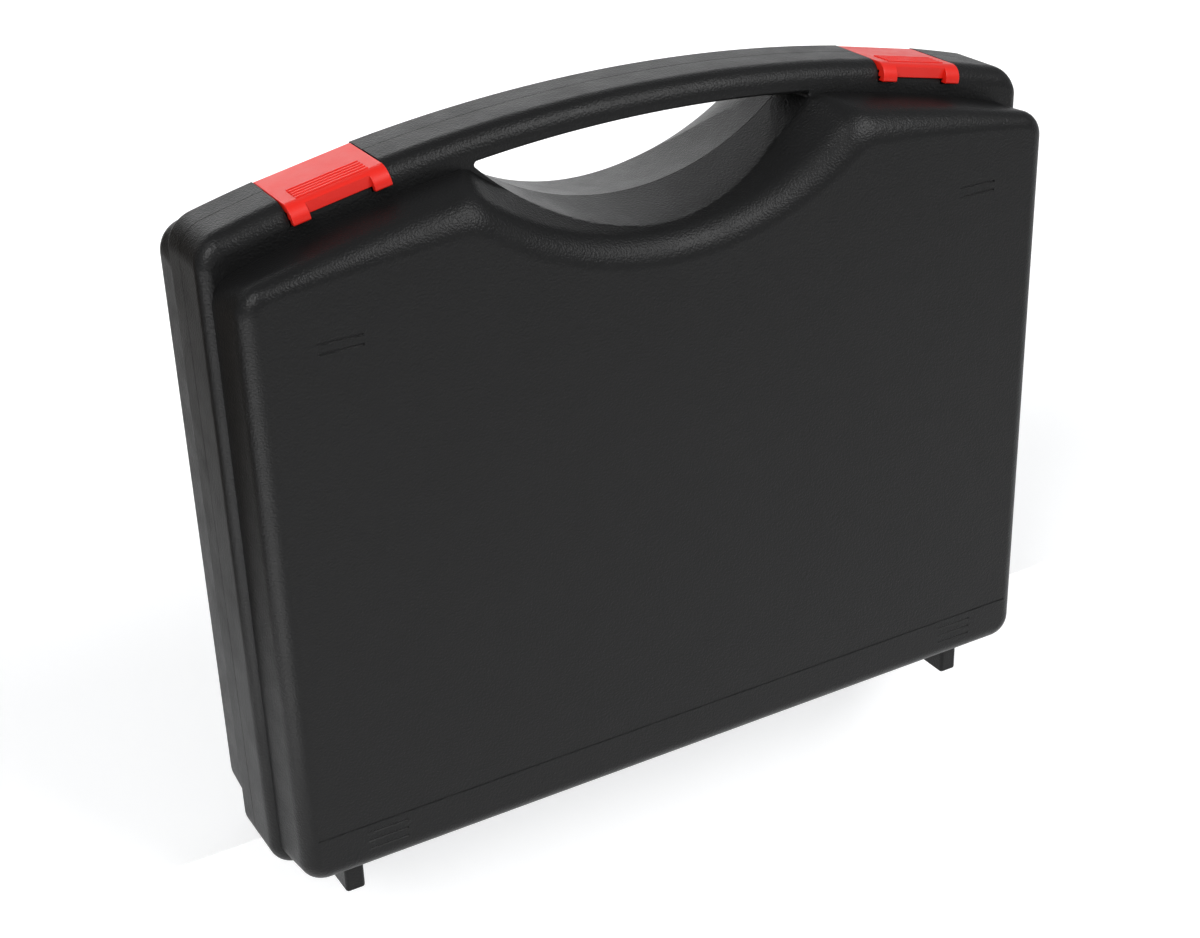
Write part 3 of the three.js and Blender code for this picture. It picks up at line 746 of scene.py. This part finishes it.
def opening_solid(sizes, hole, side, grow=0):
    """Form of the hand opening through one shell, grown by a wall where it trims the hollow"""
    rim = rim_depth(sizes, side)
    straight = rim - hole.grip_edge
    outside = sizes.shell_depth + OVERRUN
    if grow:
        places = {-OVERRUN: 0, straight: straight, outside: sizes.shell_depth}
    else:
        turns = quarter_turn(SMALL_STEPS)[1:]
        eased = [rim - hole.grip_edge * (1 - math.sin(angle)) for angle in turns]
        places = {depth: depth for depth in (-OVERRUN, straight, *eased, outside)}
    sections = []
    for depth, drawn_at in places.items():
        sections.append((depth, opening_outline(sizes, hole, side, drawn_at, grow)))
    return loft("Opening", sections, side)


def foot_solid(sizes, footing, side, end):
    """A foot, from the floor up into the shell's bottom wall"""
    outer = sizes.shell_depth - footing.foot_setback
    inner = outer - footing.foot_depth
    left = end * footing.foot_x - footing.foot_width / 2
    right = left + footing.foot_width
    corners = ((left, inner), (right, inner), (right, outer), (left, outer))
    outline = rounded([(x, y, footing.foot_corner) for x, y in corners])
    top = sizes.rim_bottom + sizes.pan_step + sizes.pan_draft + sizes.wall / 2
    rings = []
    for angle in quarter_turn(SMALL_STEPS):
        around = inset(outline, footing.foot_edge * (1 - math.sin(angle)))
        height = footing.foot_edge * (1 - math.cos(angle))
        rings.append([(point.x, side * point.y, height) for point in around])
    rings.append([(point.x, side * point.y, top) for point in outline])
    return skin("Foot", rings)


def knuckle_row(sizes, footing, side, end, material):
    """One shell's knuckles of one hinge: the rear shell has the odd ones"""
    count = footing.knuckle_count
    gap = footing.knuckle_gap
    width = (footing.hinge_length - gap * (count - 1)) / count
    root = sizes.rim_bottom + sizes.wall / 2
    web = JOINT_GAP / 2
    radius = footing.knuckle_radius
    profile = points((web, root), (radius, root))
    stop = math.asin(web / radius) - math.pi * 1.5
    profile += arc(0, footing.hinge_z, radius, 0, stop, ROD_SIDES)
    single = bar("Knuckles", sided(profile, side), width / 2, edge=gap / 2)
    skipped = 0 if side == REAR else 1
    pitch = width + gap
    first = end * footing.hinge_x - footing.hinge_length / 2 + width / 2 + skipped * pitch
    held = (count - skipped + 1) // 2
    return repeated(single, held, (first, 0, 0), (2 * pitch, 0, 0), material)


def hinge_bore(footing, end):
    """Bore for a hinge pin"""
    half = footing.hinge_length / 2 + OVERRUN
    return rod("Bore", footing.pin_radius + PIN_GAP, half, end * footing.hinge_x, 0, footing.hinge_z)


def mark_cutter(sizes, hole, side, height, half):
    """Cutter for one line in a face: a shallow groove with leaning sides"""
    outer = sizes.shell_depth + OVERRUN
    floor = sizes.shell_depth - hole.mark_depth
    slope = height / 3
    wide = height / 2 + slope * OVERRUN / hole.mark_depth
    profile = points((floor, slope / 2), (floor, -slope / 2), (outer, -wide), (outer, wide))
    return bar("Marks", sided(profile, side), half)


def face_marks(sizes, hole, side, material):
    """Cutters for the lines in a face: one long line low down and short ones at the ends"""
    band = mark_cutter(sizes, hole, side, hole.band_height, hole.band_half)
    cutters = [moved(band, Matrix.Translation((0, 0, hole.band_line)))]
    for end in ENDS:
        for top, count in (
            (hole.lower_marks, LOWER_MARK_COUNT),
            (hole.upper_marks, UPPER_MARK_COUNT),
        ):
            single = mark_cutter(sizes, hole, side, hole.mark_height, hole.mark_length / 2)
            first = (end * hole.mark_middle, 0, top)
            cutters.append(repeated(single, count, first, (0, 0, -hole.mark_pitch), material))
    return cutters


def latch_housing(sizes, latch, side, end):
    """Solid block under a latch, inside the rim of one shell"""
    half = latch.width / 2 + FIT_GAP + latch.cheek
    depths = sorted((side * JOINT_GAP / 2, side * rim_depth(sizes, side)))
    low = (-half, depths[0], -latch.housing)
    high = (half, depths[1], OVERRUN)
    return moved(block("Housing", low, high), latch_seat(sizes, latch, end))


def rear_pocket(sizes, latch, end):
    """Cuts under a latch in the rear shell: floor, round trough and bore"""
    seat = latch_seat(sizes, latch, end)
    floor = -latch.sink - latch.plate - FIT_GAP
    centre = -latch.sink - latch.barrel
    radius = latch.barrel + FIT_GAP
    start = math.pi + math.asin((centre - floor) / radius)
    profile = points((-OVERRUN, OVERRUN), (-OVERRUN, floor))
    profile += arc(latch.pivot, centre, radius, start, math.pi * 1.5, ROD_SIDES)
    rear = sizes.rear_rim_depth + OVERRUN
    profile += points((rear, centre - radius), (rear, OVERRUN))
    half = latch.width / 2 + FIT_GAP
    pocket = bar("Pocket", profile, half)
    reach = half + latch.cheek + OVERRUN
    bore = rod("Bore", latch.pin_radius + PIN_GAP, reach, 0, latch.pivot, centre)
    return [moved(pocket, seat), moved(bore, seat)]


def front_pocket(sizes, latch, end):
    """Cuts under a latch in the front shell: room for its lip and a slot for each leg"""
    seat = latch_seat(sizes, latch, end)
    floor = -latch.lip_reach - FIT_GAP
    outer = latch.width / 2 + latch.slot_gap
    inner = latch.width / 2 - latch.leg_width - latch.slot_gap
    near = -sizes.front_rim_depth - OVERRUN
    deep = -latch.leg_reach - latch.slot_room
    cuts = [block("Seat", (-outer, near, floor), (outer, OVERRUN, OVERRUN))]
    for left, right in ((-outer, -inner), (inner, outer)):
        cuts.append(block("Slot", (left, near, deep), (right, OVERRUN, OVERRUN)))
    return [moved(cut, seat) for cut in cuts]


def locating_lip(sizes, inside):
    """Lip inside the joint face that locates the front shell"""
    outline = rim_outline(sizes)
    top, foot = -inside.lip_height, inside.lip_root
    outer = sizes.wall + FIT_GAP
    inner = outer + inside.lip_thickness
    ring = slab("Lip", inset(outline, outer), top, foot)
    root = slab("LipRoot", inset(outline, sizes.wall / 2), JOINT_GAP / 2, foot)
    hollow = slab("LipHollow", inset(outline, inner), top - OVERRUN, foot + OVERRUN)
    above = block(
        "Above",
        (-sizes.rim_half, -sizes.shell_depth, inside.lip_top),
        (sizes.rim_half, sizes.shell_depth, sizes.arch_top + OVERRUN),
    )
    return combine(ring, [("UNION", root), ("DIFFERENCE", hollow), ("DIFFERENCE", above)])


def inside_walls(sizes, inside, body):
    """Cradles for the machine and a walled bay for cutters, dowels and spanners"""
    back = sizes.shell_depth - sizes.wall / 2
    half = inside.bay_wall / 2
    walls = block(
        "Walls",
        (-sizes.rim_half, inside.bay_reach, inside.bay_top - half),
        (sizes.rim_half, back, inside.bay_top + half),
    )
    post = block(
        "Post",
        (inside.bay_post - half, inside.bay_reach, sizes.rim_bottom),
        (inside.bay_post + half, back, inside.bay_top),
    )
    reach = inside.cradle_reach
    notch = back - reach - 2 * sizes.wall
    bottom, top = inside.cradle_bottom, inside.cradle_top
    profile = points((back, bottom), (back, top), (reach, top))
    for point in arc(0, 0, 1, math.pi / 2, -math.pi / 2, ROD_SIDES):
        height = inside.notch_z + inside.notch_radius * point.y
        profile.append(Vector((reach + notch * point.x, height)))
    profile += points((reach, bottom))
    steps = [("UNION", post)]
    for end in ENDS:
        cradle = bar("Cradle", profile, inside.cradle_wall / 2, end * inside.cradle_x)
        steps.append(("UNION", cradle))
    steps.append(("INTERSECT", body))
    return combine(walls, steps)


def shell_hollow(sizes, hole, side):
    """Room inside one shell, without the hand opening and the wall round it"""
    rim_room = rim_form("RimHollow", sizes, side, -OVERRUN, sizes.wall)
    walled_opening = opening_solid(sizes, hole, side, sizes.wall)
    return combine(rim_room, [("UNION", pan_hollow(sizes, side)), ("DIFFERENCE", walled_opening)])


def shell_cuts(case, side, material):
    """What is cut from a hollow shell: hand opening, lines, hinge bores and latch pockets"""
    cuts = [opening_solid(case.shell, case.opening, side)]
    cuts += face_marks(case.shell, case.opening, side, material)
    pocket = rear_pocket if side == REAR else front_pocket
    for end in ENDS:
        cuts.append(hinge_bore(case.footing, end))
        cuts += pocket(case.shell, case.latch, end)
    return cuts


def shell_mesh(name, case, side, material):
    """One shell, cut and joined from its forms"""
    sizes = case.shell
    rim = rim_form("Rim", sizes, side, JOINT_GAP / 2)
    body = combine(rim, [("UNION", pan_solid(sizes, side))])
    steps = []
    for end in ENDS:
        steps.append(("UNION", foot_solid(sizes, case.footing, side, end)))
        steps.append(("UNION", knuckle_row(sizes, case.footing, side, end, material)))
    steps.append(("DIFFERENCE", shell_hollow(sizes, case.opening, side)))
    for end in ENDS:
        housing = latch_housing(sizes, case.latch, side, end)
        steps.append(("UNION", combine(housing, [("INTERSECT", body.copy())])))
    if side == REAR:
        steps.append(("UNION", inside_walls(sizes, case.inside, body.copy())))
        steps.append(("UNION", locating_lip(sizes, case.inside)))
    steps += [("DIFFERENCE", cut) for cut in shell_cuts(case, side, material)]
    mesh = combine(body, steps)
    mesh.name = name
    return mesh


def latch_section(latch, start, turn, outer, inner, foot, edge):
    """Section of a piece that runs forward over the latch's nose and down to a rounded foot"""
    top = -latch.sink
    under = top - latch.plate
    nose_y = latch.nose - latch.front
    section = points((start, under), (start, top))
    section += arc(nose_y, top - latch.nose, latch.nose, math.pi / 2, turn, EDGE_STEPS)
    leg = [(outer, foot, edge), (inner, foot, edge), (inner, under, 0), (outer, under, 0)]
    return section + rounded(leg)[:-1]


def latch_plate(latch):
    """Plate of a latch, with the lip between its legs"""
    nose_y = latch.nose - latch.front
    turn = math.acos((-latch.lip - nose_y) / latch.nose)
    inner = latch.lip_thickness - latch.lip
    edge = latch.edge / 2
    foot = -latch.lip_reach
    section = latch_section(latch, latch.pivot, turn, -latch.lip, inner, foot, edge)
    return bar("Latch", section, latch.width / 2, edge=edge)


def latch_leg(latch, end):
    """A leg of a latch, and the tooth inside its foot"""
    inner = -latch.front + latch.leg_thickness
    foot = -latch.leg_reach
    edge = latch.edge
    nose_y = latch.nose - latch.front
    leg = latch_section(latch, nose_y, math.pi, -latch.front, inner, foot, edge)
    top = foot + latch.tooth_height
    root = inner - edge
    tooth = points((root, foot), (inner + latch.tooth_depth, foot), (inner, top), (root, top))
    half = latch.leg_width / 2
    middle = end * (latch.width / 2 - half)
    return [bar("Leg", leg, half, middle, edge / 2), bar("Tooth", tooth, half - edge, middle)]


def latch_ribs(latch, material):
    """Ribs across a latch's plate, for the thumb"""
    under = -latch.sink - latch.plate
    top = -latch.sink + latch.rib_height
    half = latch.rib_width / 2
    edge = latch.rib_height * RIB_ROUND_SHARE
    section = rounded([(-half, under, 0), (half, under, 0), (half, top, edge), (-half, top, edge)])
    single = bar("Ribs", section, latch.rib_length / 2, edge=edge / 2)
    first = (0, -latch.first_rib, 0)
    return repeated(single, latch.rib_count, first, (0, latch.rib_pitch, 0), material)


def latch_mesh(latch, material):
    """A latch in its own place: origin on the arch at the joint line, X along the arch"""
    half = latch.width / 2
    centre = -latch.sink - latch.barrel
    joined = [rod("Barrel", latch.barrel, half, 0, latch.pivot, centre, latch.edge / 2)]
    for end in ENDS:
        joined += latch_leg(latch, end)
    joined.append(latch_ribs(latch, material))
    steps = [("UNION", solid) for solid in joined]
    bore = rod("Bore", latch.pin_radius + PIN_GAP, half + OVERRUN, 0, latch.pivot, centre)
    steps.append(("DIFFERENCE", bore))
    return combine(latch_plate(latch), steps)


def latch_wire(sizes, latch, end):
    """Wire pin of a latch, between the cheeks of its pocket"""
    radius = latch.pin_radius
    half = latch.width / 2 + FIT_GAP + latch.cheek
    wire = rod("Wire", radius, half, 0, latch.pivot, -latch.sink - latch.barrel, radius / 4)
    return moved(wire, latch_seat(sizes, latch, end))


def hinge_wire(footing, end):
    """Wire pin of one group of knuckles"""
    radius = footing.pin_radius
    half = footing.hinge_length / 2
    return rod("Wire", radius, half, end * footing.hinge_x, 0, footing.hinge_z, radius / 4)


def finish_piece(name, mesh, material, node, body, crease):
    """Puts a finished mesh in the scene in place of its CAD node"""
    mesh.materials.clear()
    mesh.materials.append(material)
    mesh.shade_smooth()
    mesh.set_sharp_from_angle(angle=crease)
    piece = bpy.data.objects.new(name, mesh)
    bpy.context.scene.collection.objects.link(piece)
    weighted = piece.modifiers.new("Even shading", "WEIGHTED_NORMAL")
    weighted.keep_sharp = True
    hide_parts(node)
    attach(piece, body)


def new_material(name):
    """A node material with its shader and its object coordinates"""
    material = bpy.data.materials.new(name)
    material.use_nodes = True
    nodes = material.node_tree.nodes
    shader = nodes["Principled BSDF"]
    place = nodes.new("ShaderNodeTexCoord")
    return material, shader, place.outputs["Object"]


def noise(material, place, size, detail=TONE_DETAIL, stretch=None):
    """Noise with features of the given size, stretched along an axis if asked"""
    nodes = material.node_tree.nodes
    links = material.node_tree.links
    texture = nodes.new("ShaderNodeTexNoise")
    texture.inputs["Scale"].default_value = 1 / size
    texture.inputs["Detail"].default_value = detail
    if stretch:
        mapping = nodes.new("ShaderNodeMapping")
        mapping.inputs["Scale"].default_value = stretch
        links.new(place, mapping.inputs["Vector"])
        place = mapping.outputs["Vector"]
    links.new(place, texture.inputs["Vector"])
    return texture.outputs["Fac"]


def uneven_gloss(material, shader, value, roughness, stray):
    """Roughness that strays from its middle as the value does"""
    spread = material.node_tree.nodes.new("ShaderNodeMapRange")
    spread.inputs["From Min"].default_value = NOISE_MIDDLE_SHARES[0]
    spread.inputs["From Max"].default_value = NOISE_MIDDLE_SHARES[1]
    spread.inputs["To Min"].default_value = roughness + stray[0]
    spread.inputs["To Max"].default_value = roughness + stray[1]
    material.node_tree.links.new(value, spread.inputs["Value"])
    material.node_tree.links.new(spread.outputs["Result"], shader.inputs["Roughness"])


def uneven_tone(material, shader, value, tone, shares):
    """Colour that drifts between two shares of a tone as the value does"""
    drift = material.node_tree.nodes.new("ShaderNodeMix")
    drift.data_type = "RGBA"
    drift.inputs["A"].default_value = (*Vector(tone) * shares[0], 1)
    drift.inputs["B"].default_value = (*Vector(tone) * shares[1], 1)
    material.node_tree.links.new(value, drift.inputs["Factor"])
    material.node_tree.links.new(drift.outputs["Result"], shader.inputs["Base Color"])


def grained(material, shader, height, depth):
    """Small unevenness of the surface"""
    bump = material.node_tree.nodes.new("ShaderNodeBump")
    bump.inputs["Distance"].default_value = depth
    material.node_tree.links.new(height, bump.inputs["Height"])
    material.node_tree.links.new(bump.outputs["Normal"], shader.inputs["Normal"])


def moulded_black(finish):
    """Black polypropylene with a fine eroded grain and slightly uneven gloss"""
    material, shader, place = new_material("MouldedBlack")
    tone = noise(material, place, BLACK_TONE_PATCH)
    uneven_tone(material, shader, tone, finish.shell_colour, BLACK_TONE_SHARES)
    gloss = noise(material, place, BLACK_GLOSS_PATCH, GLOSS_DETAIL)
    uneven_gloss(material, shader, gloss, finish.shell_roughness, BLACK_STRAY)
    shader.inputs["Specular IOR Level"].default_value = BLACK_SPECULAR
    grain = noise(material, place, finish.grain, GRAIN_DETAIL)
    grained(material, shader, grain, finish.grain_depth)
    return material


def moulded_red(finish):
    """Red glossy plastic of the latches"""
    material, shader, place = new_material("MouldedRed")
    tone = noise(material, place, RED_TONE_PATCH)
    uneven_tone(material, shader, tone, finish.latch_colour, RED_TONE_SHARES)
    gloss = noise(material, place, RED_GLOSS_PATCH, GLOSS_DETAIL)
    uneven_gloss(material, shader, gloss, finish.latch_roughness, RED_STRAY)
    shader.inputs["Specular IOR Level"].default_value = RED_SPECULAR
    grain = noise(material, place, finish.grain * LATCH_GRAIN_SIZE_SHARE)
    grained(material, shader, grain, finish.grain_depth * LATCH_GRAIN_DEPTH_SHARE)
    return material


def drawn_steel(finish):
    """Steel wire with fine lines along its length"""
    material, shader, place = new_material("DrawnSteel")
    lines = noise(material, place, WIRE_LINE, stretch=WIRE_STRETCH_SHARES)
    uneven_tone(material, shader, lines, finish.pin_colour, STEEL_TONE_SHARES)
    uneven_gloss(material, shader, lines, finish.pin_roughness, STEEL_STRAY)
    shader.inputs["Metallic"].default_value = 1
    grained(material, shader, lines, WIRE_LINE_DEPTH)
    return material


MATERIALS = {}


def material_of(kind):
    """The finish of that kind, made once"""
    makers = {"black": moulded_black, "red": moulded_red, "steel": drawn_steel}
    if kind not in MATERIALS:
        MATERIALS[kind] = makers[kind](bpy.context.scene.carry_case.finish)
    return MATERIALS[kind]


class CarryCase(bpy.types.PropertyGroup):
    """All that a user would change on the case"""

    shell: bpy.props.PointerProperty(type=CaseShellSizes, name="Shells")
    opening: bpy.props.PointerProperty(type=CaseOpeningSizes, name="Hand opening")
    footing: bpy.props.PointerProperty(type=CaseFootingSizes, name="Feet and hinge")
    latch: bpy.props.PointerProperty(type=CaseLatchSizes, name="Latches")
    inside: bpy.props.PointerProperty(type=CaseInsideSizes, name="Inside")
    finish: bpy.props.PointerProperty(type=CaseFinish, name="Finish")


class CASE_OT_front_shell(bpy.types.Operator):
    """Build the front shell, which swings down as the lid"""

    bl_idname = "carry_case.front_shell"
    bl_label = "Front shell"

    def execute(self, context):
        case = context.scene.carry_case
        black = material_of("black")
        mesh = shell_mesh("front_cover", case, FRONT, black)
        finish_piece("front_cover", mesh, black, "front_shell", "lid", FRONT_CREASE)
        return {"FINISHED"}


class CASE_OT_rear_shell(bpy.types.Operator):
    """Build the rear shell, with its cradles and walls"""

    bl_idname = "carry_case.rear_shell"
    bl_label = "Rear shell"

    def execute(self, context):
        case = context.scene.carry_case
        black = material_of("black")
        mesh = shell_mesh("rear_cover", case, REAR, black)
        finish_piece("rear_cover", mesh, black, "rear_shell", "rear", REAR_CREASE)
        return {"FINISHED"}


class CASE_OT_latches(bpy.types.Operator):
    """Build the two snap latches"""

    bl_idname = "carry_case.latches"
    bl_label = "Latches"

    def execute(self, context):
        case = context.scene.carry_case
        red = material_of("red")
        for end in ENDS:
            hand = HANDS[end]
            name = f"{hand}_snap_latch"
            node = f"{hand}_latch"
            body = f"{hand}_catch"
            mesh = moved(latch_mesh(case.latch, red), latch_seat(case.shell, case.latch, end))
            finish_piece(name, mesh, red, node, body, LATCH_CREASE)
        return {"FINISHED"}


class CASE_OT_pins(bpy.types.Operator):
    """Build the wire pins of the latches and of the hinge"""

    bl_idname = "carry_case.pins"
    bl_label = "Pins"

    def execute(self, context):
        case = context.scene.carry_case
        steel = material_of("steel")
        for end in ENDS:
            wires = {
                "latch": latch_wire(case.shell, case.latch, end),
                "hinge": hinge_wire(case.footing, end),
            }
            for place, wire in wires.items():
                name = f"{HANDS[end]}_{place}_wire"
                node = f"{HANDS[end]}_{place}_pin"
                finish_piece(name, wire, steel, node, "rear", WIRE_CREASE)
        return {"FINISHED"}


class CASE_OT_stage(bpy.types.Operator):
    """Set the floor, the lights and the camera"""

    bl_idname = "carry_case.stage"
    bl_label = "Stage"

    def execute(self, context):
        finish = context.scene.carry_case.finish
        make_floor(finish)
        make_painted_reflections()
        make_lights()
        make_camera()
        make_world()
        context.scene.view_settings.view_transform = "Standard"
        return {"FINISHED"}


def make_floor(finish):
    """Pale table that sweeps up behind the case, with a lower level before its edge"""
    profile = points((-TABLE_HALF, -TABLE_DROP), (TABLE_EDGE, -TABLE_DROP), (TABLE_EDGE, 0))
    profile += arc(SWEEP_BACK - SWEEP_BEND, SWEEP_BEND, SWEEP_BEND, -math.pi / 2, 0, ROD_SIDES)
    profile += points((SWEEP_BACK, SWEEP_TOP))
    vertices = []
    for x in (-TABLE_HALF, TABLE_HALF):
        vertices += [(x, point.x, point.y) for point in profile]
    count = len(profile)
    faces = [(k, k + count, k + count + 1, k + 1) for k in range(count - 1)]
    sweep = bpy.data.meshes.new("Sweep")
    sweep.from_pydata(vertices, [], faces)
    sweep.shade_smooth()
    sweep.set_sharp_from_angle(angle=TABLE_CREASE)
    material, shader = stage_material("PaleSweep", finish.floor_colour)
    glow = Vector(finish.floor_colour) * SWEEP_GLOW_SHARE
    shader.inputs["Emission Color"].default_value = (*glow, 1)
    glow_for_rays(material, shader)
    sweep.materials.append(material)
    staged(sweep)


def glow_for_rays(material, shader):
    """Glow that shows in full to the camera and through glass, and in part in reflections"""
    nodes = material.node_tree.nodes
    links = material.node_tree.links
    rays = nodes.new("ShaderNodeLightPath")
    seen = nodes.new("ShaderNodeMath")
    seen.operation = "MULTIPLY_ADD"
    seen.inputs[1].default_value = SWEEP_MIRRORED_SHARE
    through = nodes.new("ShaderNodeMath")
    through.operation = "ADD"
    links.new(rays.outputs["Is Glossy Ray"], seen.inputs[0])
    links.new(rays.outputs["Is Camera Ray"], seen.inputs[2])
    links.new(seen.outputs["Value"], through.inputs[0])
    links.new(rays.outputs["Is Transmission Ray"], through.inputs[1])
    links.new(through.outputs["Value"], shader.inputs["Emission Strength"])


def make_painted_reflections():
    """A dark bent sheet and a bright flat one beside the case that only reflections show: painted
    dark reflections and painted highlights on the case
    """
    dark = []
    for y, z in (
        (DARK_REFLECTION_SHEET_NEAR, REFLECTION_SHEET_LIFT),
        (DARK_REFLECTION_SHEET_FAR, REFLECTION_SHEET_LIFT),
        (DARK_REFLECTION_SHEET_FAR, DARK_REFLECTION_SHEET_TOP),
    ):
        dark += [(DARK_REFLECTION_SHEET_LEFT, y, z), (DARK_REFLECTION_SHEET_RIGHT, y, z)]
    bright = [(x, y, REFLECTION_SHEET_LIFT) for x, y in PAINTED_HIGHLIGHT_CORNERS]
    for name, corners, faces, tone, glow in (
        ("PaintedDarkReflection", dark, [(0, 1, 3, 2), (2, 3, 5, 4)], PAINTED_DARK_REFLECTION_TONE, 0),
        ("PaintedHighlight", bright, [(0, 1, 2, 3)], PAINTED_HIGHLIGHT_TONE, PAINTED_HIGHLIGHT_GLOW),
    ):
        card = bpy.data.meshes.new(name)
        card.from_pydata(corners, [], faces)
        material, shader = stage_material(name, tone)
        shader.inputs["Emission Color"].default_value = (*tone, 1)
        shader.inputs["Emission Strength"].default_value = glow
        card.materials.append(material)
        item = staged(card)
        # Only reflections see the sheets: the dark one paints dark reflections, the bright one
        # painted highlights that glow though it is no lamp
        item.visible_camera = False
        item.visible_diffuse = False
        item.visible_shadow = False


def staged(mesh):
    """Puts a mesh of the stage in its place"""
    item = bpy.data.objects.new(mesh.name, mesh)
    bpy.context.scene.collection.objects.link(item)
    return item


def stage_material(name, tone):
    """Dull material whose colour drifts a little"""
    material, shader, place = new_material(name)
    drift = noise(material, place, STAGE_TONE_PATCH)
    uneven_tone(material, shader, drift, tone, STAGE_TONE_SHARES)
    shader.inputs["Roughness"].default_value = STAGE_ROUGHNESS
    shader.inputs["Specular IOR Level"].default_value = STAGE_SPECULAR
    return material, shader


def make_lights():
    """A softbox on each side in front, and a light on the sweep behind"""
    for name, (place, target, size, power) in LIGHTS.items():
        data = bpy.data.lights.new(name, "AREA")
        data.shape = "RECTANGLE"
        data.size, data.size_y = size
        data.energy = power
        lamp = bpy.data.objects.new(name, data)
        lamp.location = place
        lamp.rotation_euler = (Vector(target) - Vector(place)).to_track_quat("-Z", "Y").to_euler()
        bpy.context.scene.collection.objects.link(lamp)


def make_world():
    """Even pale surroundings, white where the camera sees them"""
    world = bpy.data.worlds.new("Surroundings")
    world.use_nodes = True
    sky = world.node_tree.nodes["Background"]
    sky.inputs["Color"].default_value = (*SKY_COLOUR, 1)
    rays = world.node_tree.nodes.new("ShaderNodeLightPath")
    strength = world.node_tree.nodes.new("ShaderNodeMath")
    strength.operation = "MULTIPLY_ADD"
    strength.inputs[1].default_value = SKY_SHOWN
    strength.inputs[2].default_value = SKY_STRENGTH
    world.node_tree.links.new(rays.outputs["Is Camera Ray"], strength.inputs[0])
    world.node_tree.links.new(strength.outputs["Value"], sky.inputs["Strength"])
    bpy.context.scene.world = world


def make_camera():
    """Camera at the photograph's angle"""
    data = bpy.data.cameras.new("Camera")
    data.sensor_width = CAMERA_SENSOR
    data.lens = CAMERA_LENS
    data.clip_start = CAMERA_NEAR
    camera = bpy.data.objects.new("Camera", data)
    camera.location = CAMERA_PLACE
    camera.rotation_euler = CAMERA_TURN
    bpy.context.scene.collection.objects.link(camera)
    bpy.context.scene.camera = camera


class CASE_PT_sidebar(bpy.types.Panel):
    """Lists the case's pieces in the sidebar"""

    bl_idname = "CASE_PT_sidebar"
    bl_label = "Carry case"
    bl_space_type = "VIEW_3D"
    bl_region_type = "UI"
    bl_category = "Case"

    def draw(self, context):
        column = self.layout.column(align=True)
        for operator in PIECES:
            column.operator(operator.bl_idname)
        case = context.scene.carry_case
        for group in (case.shell, case.opening, case.footing, case.latch, case.inside, case.finish):
            box = self.layout.box()
            for name in group.__annotations__:
                box.prop(group, name)


SIZES = (
    CaseShellSizes,
    CaseOpeningSizes,
    CaseFootingSizes,
    CaseLatchSizes,
    CaseInsideSizes,
    CaseFinish,
    CarryCase,
)
PIECES = (
    CASE_OT_front_shell,
    CASE_OT_rear_shell,
    CASE_OT_latches,
    CASE_OT_pins,
    CASE_OT_stage,
)
CLASSES = (*SIZES, *PIECES, CASE_PT_sidebar)


def register():
    for entry in CLASSES:
        bpy.utils.register_class(entry)
    bpy.types.Scene.carry_case = bpy.props.PointerProperty(type=CarryCase)


def unregister():
    del bpy.types.Scene.carry_case
    for entry in reversed(CLASSES):
        bpy.utils.unregister_class(entry)


def main():
    register()
    bpy.ops.carry_case.front_shell()
    bpy.ops.carry_case.rear_shell()
    bpy.ops.carry_case.latches()
    bpy.ops.carry_case.pins()
    bpy.ops.carry_case.stage()


if __name__ == "__main__":
    main()
